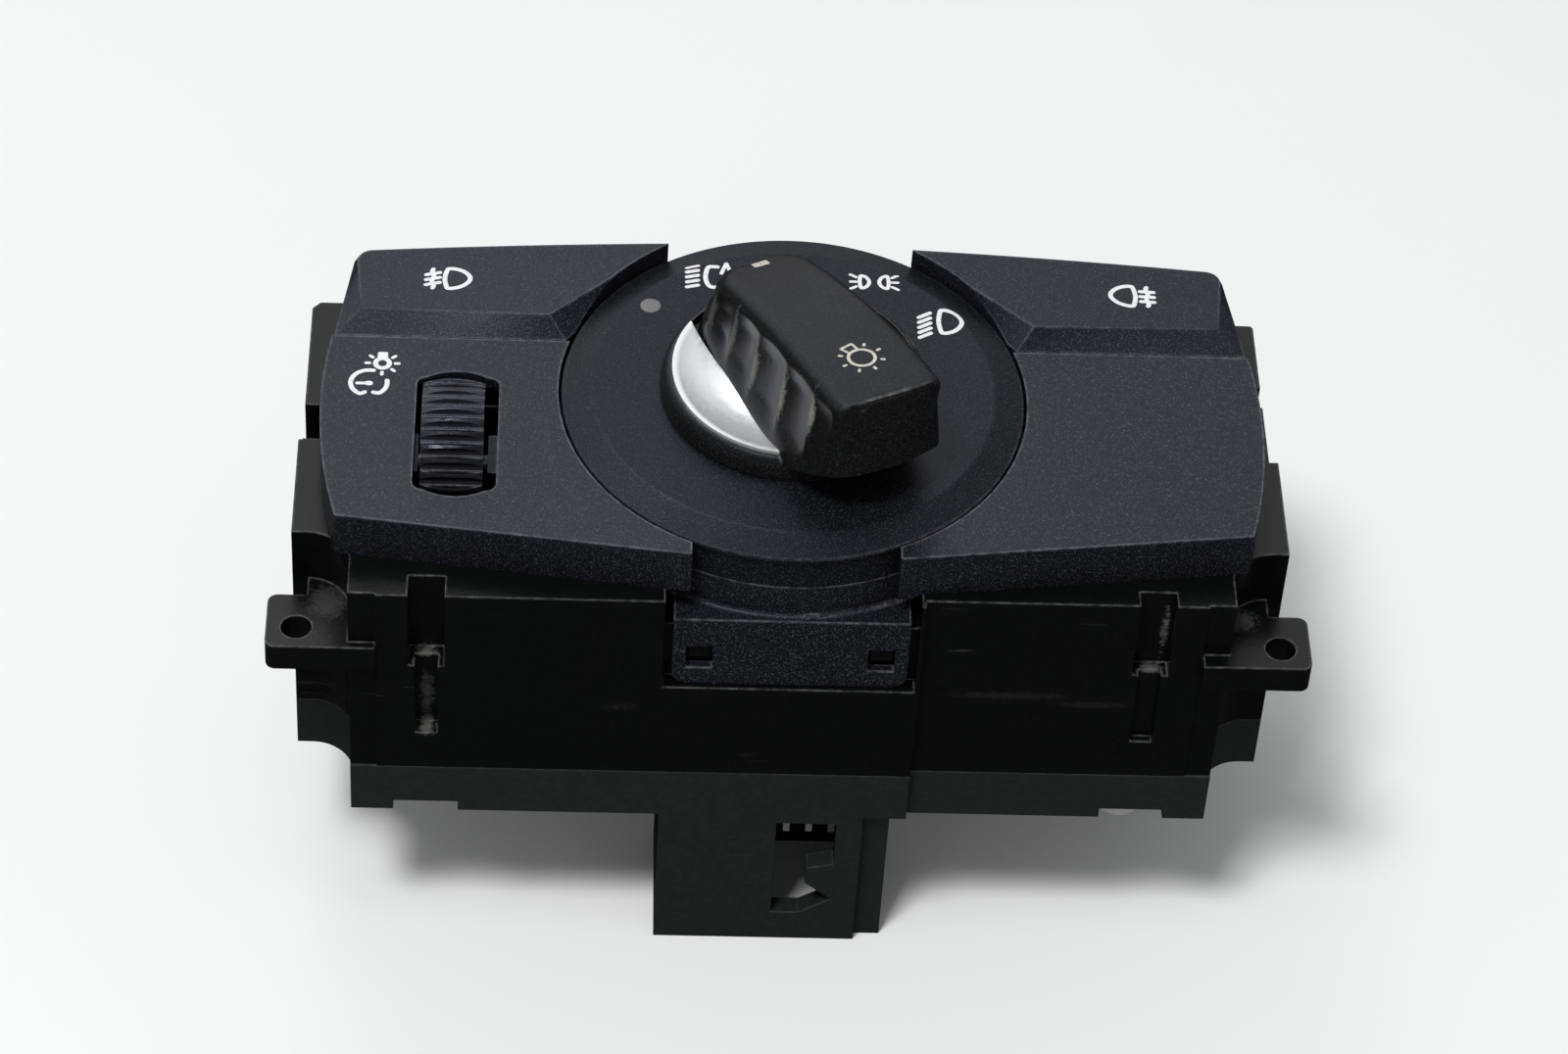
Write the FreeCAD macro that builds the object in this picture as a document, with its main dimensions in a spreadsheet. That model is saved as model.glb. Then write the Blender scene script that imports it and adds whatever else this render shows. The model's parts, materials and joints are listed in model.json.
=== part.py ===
import FreeCAD, Part
import math
import os
import re
import Sketcher

# Headlight switch. Local frame of every piece: the dial's centre on the face plane, +Z out of the face,
# +Y to the face's upper edge. The row's origin is midway between the screw holes of the two ears.

V = FreeCAD.Vector
doc = FreeCAD.newDocument("headlight_switch")
sizes = doc.addObject("Spreadsheet::Sheet", "sizes")

SIZES = {
    # Row frame: how far the face plane lies above the ears' screw holes
    "face_above_ears": 18.2,
    # Dial plate
    "dial_radius": 34.8,
    "dial_band": 4.5,
    "dial_rise": 1.2,
    "dial_edge_level": -0.2,
    "dial_edge_height": 0.8,
    "dial_wall": 2.0,
    "barrel_step": 0.5,
    "barrel_wall": 1.9,
    "dial_seam": -6.4,
    "dial_hole": 10.6,
    "ring_gap": 0.4,
    # Front panel, right half; the left half mirrors it
    "panel_top": 10.4,
    "plate_reach": 34.7,
    "plate_taper": 2.2,
    "plate_low_inset": 0.6,
    "plate_rise": 6.3,
    "panel_side_radius": 93.0,
    "panel_gap_half": 15.2,
    "panel_height": 7.8,
    "panel_skin": 1.9,
    "panel_wall": 2.0,
    "hollow_start": 24.0,
    "collar_bottom": -12.8,
    "collar_flare": 0.7,
    "bridge_half": 9.0,
    "bridge_depth": 1.8,
    # Snap tongue under the barrel
    "tongue_half": 17.45,
    "tongue_margin": 1.3,
    "tongue_wall": 1.5,
    "shelf_level": -12.3,
    "tongue_bottom": -25.9,
    "tongue_corner": 2.5,
    "snap_reach": 13.5,
    "snap_width": 4.0,
    "snap_top": -17.9,
    "snap_bottom": -22.5,
    # Push buttons
    "button_gap": 0.5,
    "button_edge": -0.4,
    "button_crown": 3.5,
    "button_tilt": 2.0,
    "button_back_inset": 4.3,
    "button_inner_inset": 16.0,
    "button_end_inset": 0.3,
    "button_corner_inset": 2.5,
    "button_corner_drop": 1.5,
    "button_corner_radius": 2.3,
    "button_back_round": 900.0,
    "button_skirt": -5.6,
    "button_wall": 1.6,
    "lip_depth": 4.4,
    "lip_depth_inner": 3.0,
    "lip_end": 0.8,
    "lip_inner_margin": 2.0,
    "side_bevel": 4.0,
    "back_bevel": 0.6,
    "stem_inset": 23.2,
    "stem_back_inset": 11.3,
    "stem_width": 8.0,
    "stem_depth": 6.0,
    "stem_play": 0.3,
    "sleeve_wall": 1.6,
    "sleeve_bottom": -22.0,
    "dome_height": 2.6,
    "dome_radius": 4.4,
    "dome_top_radius": 3.2,
    # Knob, measured along its grip bar
    "knob_angle": -65.0,
    "knob_radius": 20.1,
    "knob_lift": 0.2,
    "skirt_height": 2.2,
    "knob_top_radius": 18.6,
    "knob_deck": 5.0,
    "hub_radius": 9.5,
    "hub_bottom": -3.2,
    "bar_foot_back": 15.5,
    "bar_foot_front": 28.1,
    "bar_foot_half": 9.7,
    "bar_foot_round": 23.0,
    "bar_head_back": 9.4,
    "bar_head_front": 27.35,
    "bar_head_half_back": 2.3,
    "bar_head_half_front": 7.9,
    "bar_head_round": 2.6,
    "bar_head_level": 26.0,
    "bar_front_round": 60.0,
    "bar_flank_round": 150.0,
    "arch_radius": 127.0,
    "arch_reach_back": 20.0,
    "arch_reach_front": 33.0,
    "arch_back_level": 12.5,
    "arch_front_level": 24.5,
    "cone_reach": 36.0,
    "cone_level": 14.9,
    "flute_count": 4,
    "flute_first": -7.5,
    "flute_pitch": 8.2,
    "flute_radius": 8.0,
    "flute_depth": 0.85,
    "flute_lean_first": 11.6,
    "flute_lean_step": 3.4,
    "trim_inset": 0.25,
    "trim_depth": 1.6,
    "trim_rise": 0.5,
    "dish_inner": 9.0,
    "dish_outer": 17.9,
    "dish_round": 14.0,
    # Shaft and detent
    "shaft_radius": 6.0,
    "shaft_bore": 3.4,
    "shaft_play": 0.05,
    "shaft_top": 3.6,
    "shaft_bottom": -39.6,
    "star_margin": 8.5,
    "star_top": -29.0,
    "star_bottom": -34.0,
    "notch_radius": 1.6,
    "notch_depth": 0.9,
    "detent_step": 26.9,
    "guide_play": 0.2,
    # Drum that carries the shaft
    "drum_margin": 11.8,
    "drum_wall": 2.0,
    "flange_margin": 2.3,
    "flange_height": 1.8,
    "bearing_radius": 8.6,
    "bearing_top": -3.6,
    "bearing_bottom": -24.0,
    "plunger_radius": 1.8,
    "plunger_gap": 0.3,
    "pocket_wall": 1.5,
    "leaf_half": 4.0,
    "leaf_rise": 2.2,
    "leaf_strip": 0.4,
    "boss_inset": 5.7,
    "boss_radius": 3.0,
    # Thumbwheel
    "wheel_inset": 18.9,
    "wheel_y": -10.2,
    "wheel_z": -6.8,
    "wheel_radius": 13.0,
    "wheel_edge_radius": 12.3,
    "wheel_width": 9.2,
    "wheel_flutes": 38,
    "wheel_flute_radius": 0.85,
    "wheel_flute_depth": 0.8,
    "journal_radius": 2.0,
    "journal_play": 0.05,
    "cheek_gap": 0.6,
    "cheek_wall": 2.0,
    "cheek_half": 4.0,
    "window_shift": 0.45,
    "window_half": 6.15,
    "window_end_radius": 8.6,
    "window_side_half": 10.35,
    "window_corner": 1.6,
    "window_depth": 4.2,
    "pot_wall": 2.9,
    "pot_half": 4.4,
    # Housing
    "body_inset": 4.3,
    "front_margin": 2.1,
    "body_back_inset": 7.8,
    "body_wall": 2.2,
    "front_wall": 3.0,
    "deck_wall": 2.0,
    "body_bottom": -44.8,
    "step_depth": 1.3,
    "step_x": 19.4,
    "strip_width": 4.0,
    "strip_depth": 0.4,
    "wing_width": 8.8,
    "wing_setback": 13.4,
    "wing_back_inset": 2.0,
    "wing_chamfer": 1.8,
    "wing_drop": 0.8,
    "cove_radius": 6.5,
    "notch_floor": -24.0,
    "notch_left_front": -3.2,
    "notch_left_back": 4.1,
    "notch_right_front": 8.6,
    "notch_right_back": 12.9,
    "shoulder_front": -3.4,
    "shoulder_left": 0.6,
    "shoulder_right": 1.4,
    "ear_width": 12.2,
    "ear_hole_inset": 4.5,
    "ear_hole_back": 3.2,
    "ear_hole_radius": 2.25,
    "ear_step": 0.9,
    "ear_depth": 10.7,
    "ear_height": 4.8,
    "ear_corner": 1.5,
    "slot_inset": 11.5,
    "slot_top_width": 5.4,
    "slot_low_width": 3.4,
    "slot_step": -22.6,
    "slot_bottom": -37.2,
    "slot_depth": 4.2,
    "slot_low_depth": 2.6,
    "slot_wall": 1.6,
    "recess_half": 18.8,
    "recess_bottom": -26.1,
    "recess_depth": 2.8,
    "backing_top": -15.2,
    "lug_height": 1.3,
    # Rear cover and connector
    "cover_bottom": -54.5,
    "cover_floor": 2.2,
    "notch_inner": 49.0,
    "notch_outer": 58.8,
    "notch_rise": 1.9,
    "shroud_left": -18.4,
    "shroud_right": 17.0,
    "shroud_depth": 22.0,
    "shroud_wall": 1.8,
    "shroud_bottom": -83.1,
    "shroud_step_x": 12.9,
    "socket_floor": -57.0,
    "window_left": -0.3,
    "window_right": 8.9,
    "window_top": -56.1,
    "window_bottom": -76.9,
    "pin_columns": 8,
    "pin_pitch": 3.5,
    "pin_row_gap": 4.0,
    "pin_width": 1.0,
    "pin_tip": -67.2,
    "pin_setback": 8.8,
    "pin_first_x": -12.2,
    "pin_hole_play": 0.1,
    # Circuit board and fasteners
    "board_top": -42.0,
    "board_wall": 1.6,
    "board_play": 1.2,
    "post_front_inset": 25.2,
    "post_front_setback": 7.9,
    "post_back_inset": 21.2,
    "post_back": 10.0,
    "lamp_margin": 2.5,
    "post_radius": 3.0,
    "screw_radius": 1.5,
    "board_head_radius": 2.6,
    "board_head_height": 1.5,
    "board_screw_length": 8.0,
    "cover_screw_inset": 12.7,
    "cover_screw_setback": 7.0,
    "cover_screw_back_inset": 7.0,
    "cover_boss_radius": 3.4,
    "cover_head_radius": 3.75,
    "cover_head_height": 1.6,
    "cover_screw_length": 18.0,
}

# Sizes that follow from the ones above: the dial sets the row of plates, and the plates set the housing
FOLLOWING = {
    "dial_flat_radius": "dial_radius - dial_band",
    "barrel_radius": "dial_radius - barrel_step",
    "opening_radius": "dial_radius + ring_gap",
    "panel_corner_reach": "dial_radius + plate_reach",
    "panel_foot_reach": "panel_corner_reach - plate_taper",
    "panel_low": "plate_low_inset - dial_radius",
    "panel_foot": "panel_low + plate_rise",
    "button_front": "panel_top + button_gap",
    "button_back": "dial_radius - button_back_inset",
    "button_back_reach": "dial_radius - button_inner_inset",
    "button_corner_back": "button_back - button_corner_drop",
    "lip_inner_reach": "dial_radius + lip_inner_margin",
    "button_side_reach": "panel_corner_reach - button_end_inset",
    "button_corner_reach": "panel_corner_reach - button_corner_inset",
    "stem_reach": "body_half - stem_inset",
    "stem_back": "button_back - stem_back_inset",
    "wheel_x": "-(panel_corner_reach - wheel_inset)",
    "window_x": "wheel_x + window_shift",
    "body_half": "panel_corner_reach - body_inset",
    "body_front": "-(barrel_radius + front_margin)",
    "body_back": "dial_radius - body_back_inset",
    "tongue_face": "-(barrel_radius + tongue_margin)",
    "recess_back": "body_front + recess_depth",
    "dial_from_ears": "-(body_front + ear_hole_back)",
    "wing_reach": "body_half + wing_width",
    "wing_front": "body_front + wing_setback",
    "wing_back": "body_back - wing_back_inset",
    "ear_reach": "body_half + ear_width",
    "ear_hole_reach": "ear_reach - ear_hole_inset",
    "ear_root": "body_half - strip_width",
    "ear_front": "body_front - ear_step",
    "ear_back": "ear_front + ear_depth",
    "slot_reach": "body_half - slot_inset",
    "drum_radius": "barrel_radius - drum_margin",
    "flange_radius": "barrel_radius - flange_margin",
    "boss_ring": "barrel_radius - boss_inset",
    "star_radius": "drum_radius - star_margin",
    "plunger_length": "star_margin - plunger_gap - leaf_rise",
    "lamp_ring": "drum_radius + lamp_margin",
    "shroud_back": "body_front + shroud_depth",
    "pin_row_y": "body_front + pin_setback",
    "post_front_reach": "body_half - post_front_inset",
    "post_back_reach": "body_half - post_back_inset",
    "post_front": "body_front + post_front_setback",
    "cover_screw_x": "body_half - cover_screw_inset",
    "cover_screw_front": "body_front + cover_screw_setback",
    "cover_screw_back": "body_back - cover_screw_back_inset",
}

for row, (name, value) in enumerate(SIZES.items(), start=1):
    sizes.set(f"A{row}", name)
    sizes.set(f"B{row}", str(value))
    sizes.setAlias(f"B{row}", name)
doc.recompute()


def formula(text):
    """Turn words such as dial_radius into references to the sheet's cells."""
    def cell(word):
        name = word[0]
        if name in FOLLOWING:
            return f"({formula(FOLLOWING[name])})"
        return "sizes." + name if name in SIZES else name
    return re.sub(r"[a-z_]+", cell, str(text))


def number(text):
    """Today's value of a formula, used for counts and for the first place of a sketch's points."""
    result = sizes.evalExpression(formula(text))
    return float(getattr(result, "Value", result))


def bind(thing, prop, text):
    thing.setExpression(prop, formula(text))


PIECES = []


def seat(piece, turned=False):
    """Place a piece at the dial's centre, and along the grip bar where it belongs to the knob."""
    bind(piece, "Placement.Base.y", "dial_from_ears")
    bind(piece, "Placement.Base.z", "face_above_ears")
    if turned:
        piece.Placement.Rotation = FreeCAD.Rotation(V(0, 0, 1), 0)
        bind(piece, "Placement.Rotation.Angle", "knob_angle")
    PIECES.append(piece)


def new_body(label, turned=False):
    body = doc.addObject("PartDesign::Body", label)
    body.Label = label
    seat(body, turned)
    return body


def new_sketch(body, name, offset="0", plane="XY_Plane"):
    sketch = body.newObject("Sketcher::SketchObject", name)
    role = [part for part in body.Origin.OriginFeatures if part.Role == plane][0]
    sketch.AttachmentSupport = [(role, "")]
    sketch.MapMode = "FlatFace"
    bind(sketch, "AttachmentOffset.Base.z", offset)
    return sketch


def lean(sketch, axis, angle, shift="0"):
    """Tilt a sketch's plane about an axis, in degrees, after moving it along the plane's own Y."""
    sketch.AttachmentOffset = FreeCAD.Placement(sketch.AttachmentOffset.Base, FreeCAD.Rotation(axis, 1))
    bind(sketch, "AttachmentOffset.Rotation.Angle", angle)
    bind(sketch, "AttachmentOffset.Base.y", shift)


def pin_point(sketch, geometry, vertex, x, y):
    """Hold one sketch point at the formulas x and y."""
    for kind, text in (("DistanceX", x), ("DistanceY", y)):
        index = sketch.addConstraint(Sketcher.Constraint(kind, -1, 1, geometry, vertex, number(text)))
        bind(sketch, f"Constraints[{index}]", text)


def circle(sketch, x, y, radius):
    geometry = sketch.addGeometry(Part.Circle(V(number(x), number(y), 0), V(0, 0, 1), number(radius)), False)
    pin_point(sketch, geometry, 3, x, y)
    index = sketch.addConstraint(Sketcher.Constraint("Radius", geometry, number(radius)))
    bind(sketch, f"Constraints[{index}]", radius)


def arc_between(start, end, radius, bulge):
    """Arc of a given radius from start to end, on the left of that line (bulge 1) or the right (-1)."""
    chord = end - start
    height = math.sqrt(max(radius ** 2 - (chord.Length / 2) ** 2, 0.0))
    normal = V(-chord.y, chord.x, 0).normalize()
    centre = (start + end) / 2 - normal * (height * bulge)
    first, last = (end, start) if bulge > 0 else (start, end)
    angles = [math.atan2(point.y - centre.y, point.x - centre.x) for point in (first, last)]
    return Part.ArcOfCircle(Part.Circle(centre, V(0, 0, 1), radius), angles[0], angles[1])


def outline(sketch, corners, arcs=None):
    """Closed outline through the corners. arcs gives (radius, bulge) for the side that starts at a corner."""
    arcs = arcs or {}
    points = [V(number(x), number(y), 0) for x, y in corners]
    ends = []
    for index, point in enumerate(points):
        target = points[(index + 1) % len(points)]
        if index in arcs:
            radius, bulge = arcs[index]
            geometry = sketch.addGeometry(arc_between(point, target, number(radius), bulge), False)
            first, last = (2, 1) if bulge > 0 else (1, 2)
            mark = sketch.addConstraint(Sketcher.Constraint("Radius", geometry, number(radius)))
            bind(sketch, f"Constraints[{mark}]", radius)
        else:
            geometry = sketch.addGeometry(Part.LineSegment(point, target), False)
            first, last = 1, 2
        ends.append((geometry, first, last))
    for index, (geometry, first, last) in enumerate(ends):
        follower, next_first, _ = ends[(index + 1) % len(ends)]
        sketch.addConstraint(Sketcher.Constraint("Coincident", geometry, last, follower, next_first))
        pin_point(sketch, geometry, first, *corners[index])


def box_outline(sketch, left, right, low, high):
    outline(sketch, [(left, low), (right, low), (right, high), (left, high)])


def slab(body, sketch, thickness, reverse=False):
    pad = body.newObject("PartDesign::Pad", sketch.Name + "_pad")
    pad.Profile = sketch
    pad.Reversed = reverse
    bind(pad, "Length", thickness)
    body.Tip = pad
    return pad


def cut(body, sketch, depth, reverse=False, both=False):
    pocket = body.newObject("PartDesign::Pocket", sketch.Name + "_cut")
    pocket.Profile = sketch
    pocket.Reversed = reverse
    pocket.Midplane = both
    bind(pocket, "Length", depth)
    body.Tip = pocket
    return pocket


def turn(body, sketch, kind="Revolution"):
    feature = body.newObject("PartDesign::" + kind, sketch.Name + "_turn")
    feature.Profile = sketch
    feature.ReferenceAxis = (sketch, ["V_Axis"])
    feature.Angle = 360
    body.Tip = feature
    return feature


def block(body, name, left, right, front, back, low, high):
    """Rectangular block between formulas, added to the body."""
    sketch = new_sketch(body, name, low)
    box_outline(sketch, left, right, front, back)
    return slab(body, sketch, f"({high}) - ({low})")


def box_cut(body, name, left, right, front, back, low, high):
    sketch = new_sketch(body, name, high)
    box_outline(sketch, left, right, front, back)
    return cut(body, sketch, f"({high}) - ({low})")


def disc(body, name, x, y, radius, low, high, inner=None):
    sketch = new_sketch(body, name, low)
    circle(sketch, x, y, radius)
    if inner is not None:
        circle(sketch, x, y, inner)
    return slab(body, sketch, f"({high}) - ({low})")


def disc_cut(body, name, x, y, radius, low, high):
    sketch = new_sketch(body, name, high)
    circle(sketch, x, y, radius)
    return cut(body, sketch, f"({high}) - ({low})")


def sided(side, text):
    """A formula on the right half (side 1) or mirrored to the left half (side -1)."""
    return text if side > 0 else f"-({text})"


def chord_x(radius, y):
    return f"sqrt(({radius})^2 - ({y})^2)"


# Front panel: two hollow plates round the dial, joined by the collar under it

def build_front_panel():
    body = new_body("front_panel")
    for side, word in ((1, "right"), (-1, "left")):
        plate = new_sketch(body, f"plate_{word}", "-panel_height")
        corners = [
            (sided(side, "panel_gap_half"), "panel_low"),
            (sided(side, "panel_foot_reach"), "panel_foot"),
            (sided(side, "panel_corner_reach"), "panel_top"),
            (sided(side, "panel_gap_half"), "panel_top"),
        ]
        outline(plate, corners, {1: ("panel_side_radius", -side)})
        slab(body, plate, "panel_height")
    disc_cut(body, "dial_clearance", "0", "0", "opening_radius", "-panel_height - 1", "1")
    for side, word in ((1, "right"), (-1, "left")):
        hollow = new_sketch(body, f"hollow_{word}", "-panel_skin")
        ring = "(opening_radius + panel_wall)"
        top = "panel_top - panel_wall"
        low_line = ("panel_low + (panel_foot - panel_low) * (hollow_start - panel_gap_half)"
                    " / (panel_foot_reach - panel_gap_half) + panel_wall")
        corners = [
            (sided(side, "hollow_start"), "-(" + chord_x(ring, "hollow_start") + ")"),
            (sided(side, "hollow_start"), low_line),
            (sided(side, "panel_foot_reach - panel_wall"), "panel_foot + panel_wall"),
            (sided(side, "panel_corner_reach - panel_wall"), top),
            (sided(side, chord_x(ring, top)), top),
        ]
        outline(hollow, corners, {2: ("panel_side_radius - panel_wall", -side), 4: (ring, side)})
        cut(body, hollow, "panel_height - panel_skin")
    disc(body, "collar", "0", "0", "barrel_radius", "collar_bottom", "dial_seam", "barrel_radius - barrel_wall")
    for side, word in ((1, "right"), (-1, "left")):
        inner = "barrel_radius - 1"
        outer = "opening_radius + panel_wall"
        edges = (inner, outer) if side > 0 else (f"-({outer})", f"-({inner})")
        block(body, f"bridge_{word}", *edges, "-bridge_half", "bridge_half",
              "-panel_height - bridge_depth", "-panel_height + 1")
    for index in range(3):
        angle = 90 + 120 * index
        x = f"boss_ring * cos({angle} deg)"
        y = f"boss_ring * sin({angle} deg)"
        disc(body, f"drum_boss_{index}", x, y, "boss_radius", "collar_bottom", "dial_seam - 1", "screw_radius")
        root = new_sketch(body, f"drum_root_{index}", "collar_bottom")
        half = "(boss_radius / 2)"
        spans = []
        for reach, shift in ((f"boss_ring + boss_radius * 0.8", -1), ("barrel_radius - 1", -1),
                             ("barrel_radius - 1", 1), (f"boss_ring + boss_radius * 0.8", 1)):
            spans.append((f"({reach}) * cos({angle} deg) - {shift} * {half} * sin({angle} deg)",
                          f"({reach}) * sin({angle} deg) + {shift} * {half} * cos({angle} deg)"))
        outline(root, spans)
        slab(body, root, "dial_seam - 1 - collar_bottom")
    block(body, "shelf", "-tongue_half", "tongue_half", "tongue_face", "-barrel_radius + 4 * barrel_wall",
          "collar_bottom", "shelf_level")
    flare = new_sketch(body, "collar_flare", "0", "XZ_Plane")
    outline(flare, [
        ("barrel_radius - barrel_wall / 2", "shelf_level - barrel_wall / 4"),
        ("barrel_radius + collar_flare", "shelf_level - barrel_wall / 4"),
        ("barrel_radius + collar_flare", "shelf_level"),
        ("barrel_radius", "shelf_level + collar_flare"),
        ("barrel_radius - barrel_wall / 2", "shelf_level + collar_flare"),
    ], {2: ("collar_flare", 1)})
    turn(body, flare)
    disc_cut(body, "collar_bore", "0", "0", "barrel_radius - barrel_wall", "collar_bottom - 1", "shelf_level + 1")
    for index in range(3):
        angle = 90 + 120 * index
        disc(body, f"boss_foot_{index}", f"boss_ring * cos({angle} deg)", f"boss_ring * sin({angle} deg)",
             "boss_radius", "collar_bottom", "shelf_level + 2", "screw_radius")
    tongue = new_sketch(body, "tongue", "-tongue_face", "XZ_Plane")
    corners = [
        ("-tongue_half", "shelf_level"),
        ("-tongue_half", "tongue_bottom + tongue_corner"),
        ("-tongue_half + tongue_corner", "tongue_bottom"),
        ("tongue_half - tongue_corner", "tongue_bottom"),
        ("tongue_half", "tongue_bottom + tongue_corner"),
        ("tongue_half", "shelf_level"),
    ]
    outline(tongue, corners, {1: ("tongue_corner", -1), 3: ("tongue_corner", -1)})
    slab(body, tongue, "tongue_wall", reverse=True)
    snaps = new_sketch(body, "snap_windows", "-tongue_face", "XZ_Plane")
    for side in (-1, 1):
        box_outline(snaps, f"{side} * snap_reach - snap_width / 2", f"{side} * snap_reach + snap_width / 2",
                    "snap_bottom", "snap_top")
    cut(body, snaps, "tongue_wall * 2")
    build_wheel_window(body)
    return body


def build_wheel_window(body):
    """Window for the thumbwheel in the left plate, with the two cheeks that carry the wheel."""
    reach = "wheel_width / 2 + cheek_gap"
    for side, word in ((-1, "outer"), (1, "inner")):
        near = f"wheel_x + {side} * ({reach})"
        far = f"wheel_x + {side} * ({reach} + cheek_wall)"
        edges = (near, far) if side > 0 else (far, near)
        block(body, f"cheek_{word}", *edges, "wheel_y - cheek_half", "wheel_y + cheek_half",
              "wheel_z - cheek_half", "-panel_skin + 0.2")
    window = new_sketch(body, "wheel_window", "1")
    left, right = "window_x - window_half", "window_x + window_half"
    low, high = "wheel_y - window_side_half", "wheel_y + window_side_half"
    outline(window, [
        (left, low),
        (f"{left} + window_corner", f"{low} - window_corner"),
        (f"{right} - window_corner", f"{low} - window_corner"),
        (right, low),
        (right, high),
        (f"{right} - window_corner", f"{high} + window_corner"),
        (f"{left} + window_corner", f"{high} + window_corner"),
        (left, high),
    ], {0: ("window_corner", -1), 1: ("window_end_radius", -1), 2: ("window_corner", -1),
        4: ("window_corner", -1), 5: ("window_end_radius", -1), 6: ("window_corner", -1)})
    cut(body, window, "window_depth + 1")
    bearing = new_sketch(body, "wheel_bearing", "wheel_x", "YZ_Plane")
    circle(bearing, "wheel_y", "wheel_z", "journal_radius + journal_play")
    cut(body, bearing, "wheel_width + 4 * cheek_wall + 4 * cheek_gap", both=True)
    snap = new_sketch(body, "wheel_snap", "wheel_x", "YZ_Plane")
    box_outline(snap, "wheel_y - journal_radius * 0.85", "wheel_y + journal_radius * 0.85",
                "wheel_z - cheek_half - 1", "wheel_z")
    cut(body, snap, "wheel_width + 4 * cheek_wall + 4 * cheek_gap", both=True)


# Dial plate and the ring under it that spreads the light to the symbols

def build_dial():
    body = new_body("dial_plate")
    profile = new_sketch(body, "dial_profile", "0", "XZ_Plane")
    edge_low = "dial_edge_level - dial_edge_height"
    inner = "barrel_radius - barrel_wall"
    outline(profile, [
        ("dial_hole", "dial_rise"),
        ("dial_flat_radius", "dial_rise"),
        ("dial_radius", "dial_edge_level"),
        ("dial_radius", edge_low),
        ("barrel_radius", edge_low + " - 0.3"),
        ("barrel_radius", "dial_seam"),
        (inner, "dial_seam"),
        (inner, "dial_edge_level - dial_wall"),
        ("dial_flat_radius", "dial_rise - dial_wall"),
        ("dial_hole", "dial_rise - dial_wall"),
    ])
    turn(body, profile)
    guide = new_body("dial_light_guide")
    disc(guide, "light_ring", "0", "0", "dial_flat_radius - 0.5", "dial_rise - dial_wall - 2.2",
         "dial_rise - dial_wall", "dial_hole + 0.6")


# Push buttons with their long stems and the silicone domes under them

def cap_plan(sketch, side, raised):
    """Plan of a button at its lower edge (raised 0) or at its top (raised 1), where bevels have narrowed it."""
    if raised:
        inner_end = ("lip_inner_reach", "button_front + lip_depth_inner")
    else:
        inner_end = (chord_x("opening_radius", "button_front") + " + lip_end", "button_front")
    corner_back = f"(button_corner_back - {raised} * back_bevel)"
    corners = [
        inner_end,
        (f"button_side_reach - {raised} * side_bevel", f"button_front + {raised} * lip_depth"),
        (f"button_corner_reach - {raised} * back_bevel", f"{corner_back} - button_corner_radius"),
        (f"button_corner_reach - button_corner_radius - {raised} * back_bevel", corner_back),
        ("button_back_reach", f"button_back - {raised} * back_bevel"),
    ]
    outline(sketch, [(sided(side, x), y) for x, y in corners],
            {2: ("button_corner_radius", -side), 3: ("button_back_round", -side)})


def build_button(side, word):
    body = new_body(f"{word}_fog_button")
    cap = new_sketch(body, f"{word}_cap", "button_skirt")
    cap_plan(cap, side, 0)
    slab(body, cap, "button_edge - button_skirt")
    edge = new_sketch(body, f"{word}_edge", "button_edge")
    cap_plan(edge, side, 0)
    crown = new_sketch(body, f"{word}_crown", "button_crown")
    lean(crown, V(0, 1, 0), sided(side, "button_tilt"))
    cap_plan(crown, side, 1)
    bevels = body.newObject("PartDesign::AdditiveLoft", f"{word}_bevels")
    bevels.Profile = edge
    bevels.Sections = [crown]
    bevels.Ruled = True
    body.Tip = bevels
    disc_cut(body, f"{word}_dial_side", "0", "0", "opening_radius", "button_skirt - 1", "button_crown + 1")
    ring = "(opening_radius + button_wall)"
    inner_front = "button_front + button_wall"
    inner_back = "button_corner_back - 2 * button_wall"
    ceiling = "button_edge - button_wall"
    hollow = new_sketch(body, f"{word}_hollow", ceiling)
    outline(hollow, [
        (sided(side, chord_x(ring, inner_front)), inner_front),
        (sided(side, "button_side_reach - 1.3 * button_wall"), inner_front),
        (sided(side, "button_corner_reach - 1.5 * button_wall"), inner_back),
        (sided(side, chord_x(ring, inner_back)), inner_back),
    ], {3: (ring, side)})
    cut(body, hollow, f"{ceiling} - button_skirt")

    stem = new_body(f"{word}_fog_plunger")
    low = "board_top + dome_height"
    block(stem, f"{word}_stem", sided(side, "stem_reach") + " - stem_width / 2",
          sided(side, "stem_reach") + " + stem_width / 2", "stem_back - stem_depth / 2",
          "stem_back + stem_depth / 2", low, ceiling)
    for shift, name in ((-1, "left"), (1, "right")):
        near = sided(side, "stem_reach") + f" + {shift} * stem_width / 2"
        far = sided(side, "stem_reach") + f" + {shift} * (stem_width / 2 + 1.2)"
        edges = (near, far) if shift > 0 else (far, near)
        block(stem, f"{word}_stop_{name}", *edges, "stem_back - stem_depth / 4", "stem_back + stem_depth / 4",
              "sleeve_bottom - 3", "sleeve_bottom - 0.3")

    dome = new_body(f"{word}_fog_dome")
    profile = new_sketch(dome, f"{word}_dome_profile", "-stem_back", "XZ_Plane")
    outline(profile, [
        ("0", "board_top + dome_height - 1"),
        ("0", "board_top + dome_height"),
        ("dome_top_radius", "board_top + dome_height"),
        ("dome_radius", "board_top + 0.6"),
        ("dome_radius + 1", "board_top + 0.6"),
        ("dome_radius + 1", "board_top"),
        ("dome_radius - 0.8", "board_top"),
        ("dome_top_radius - 0.8", "board_top + dome_height - 1"),
    ])
    turn(dome, profile)
    bind(dome, "Placement.Base.x", sided(side, "stem_reach"))


# Knob: skirt and grip bar in one moulding, two silver crescents, shaft, light guide and wiper

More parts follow.
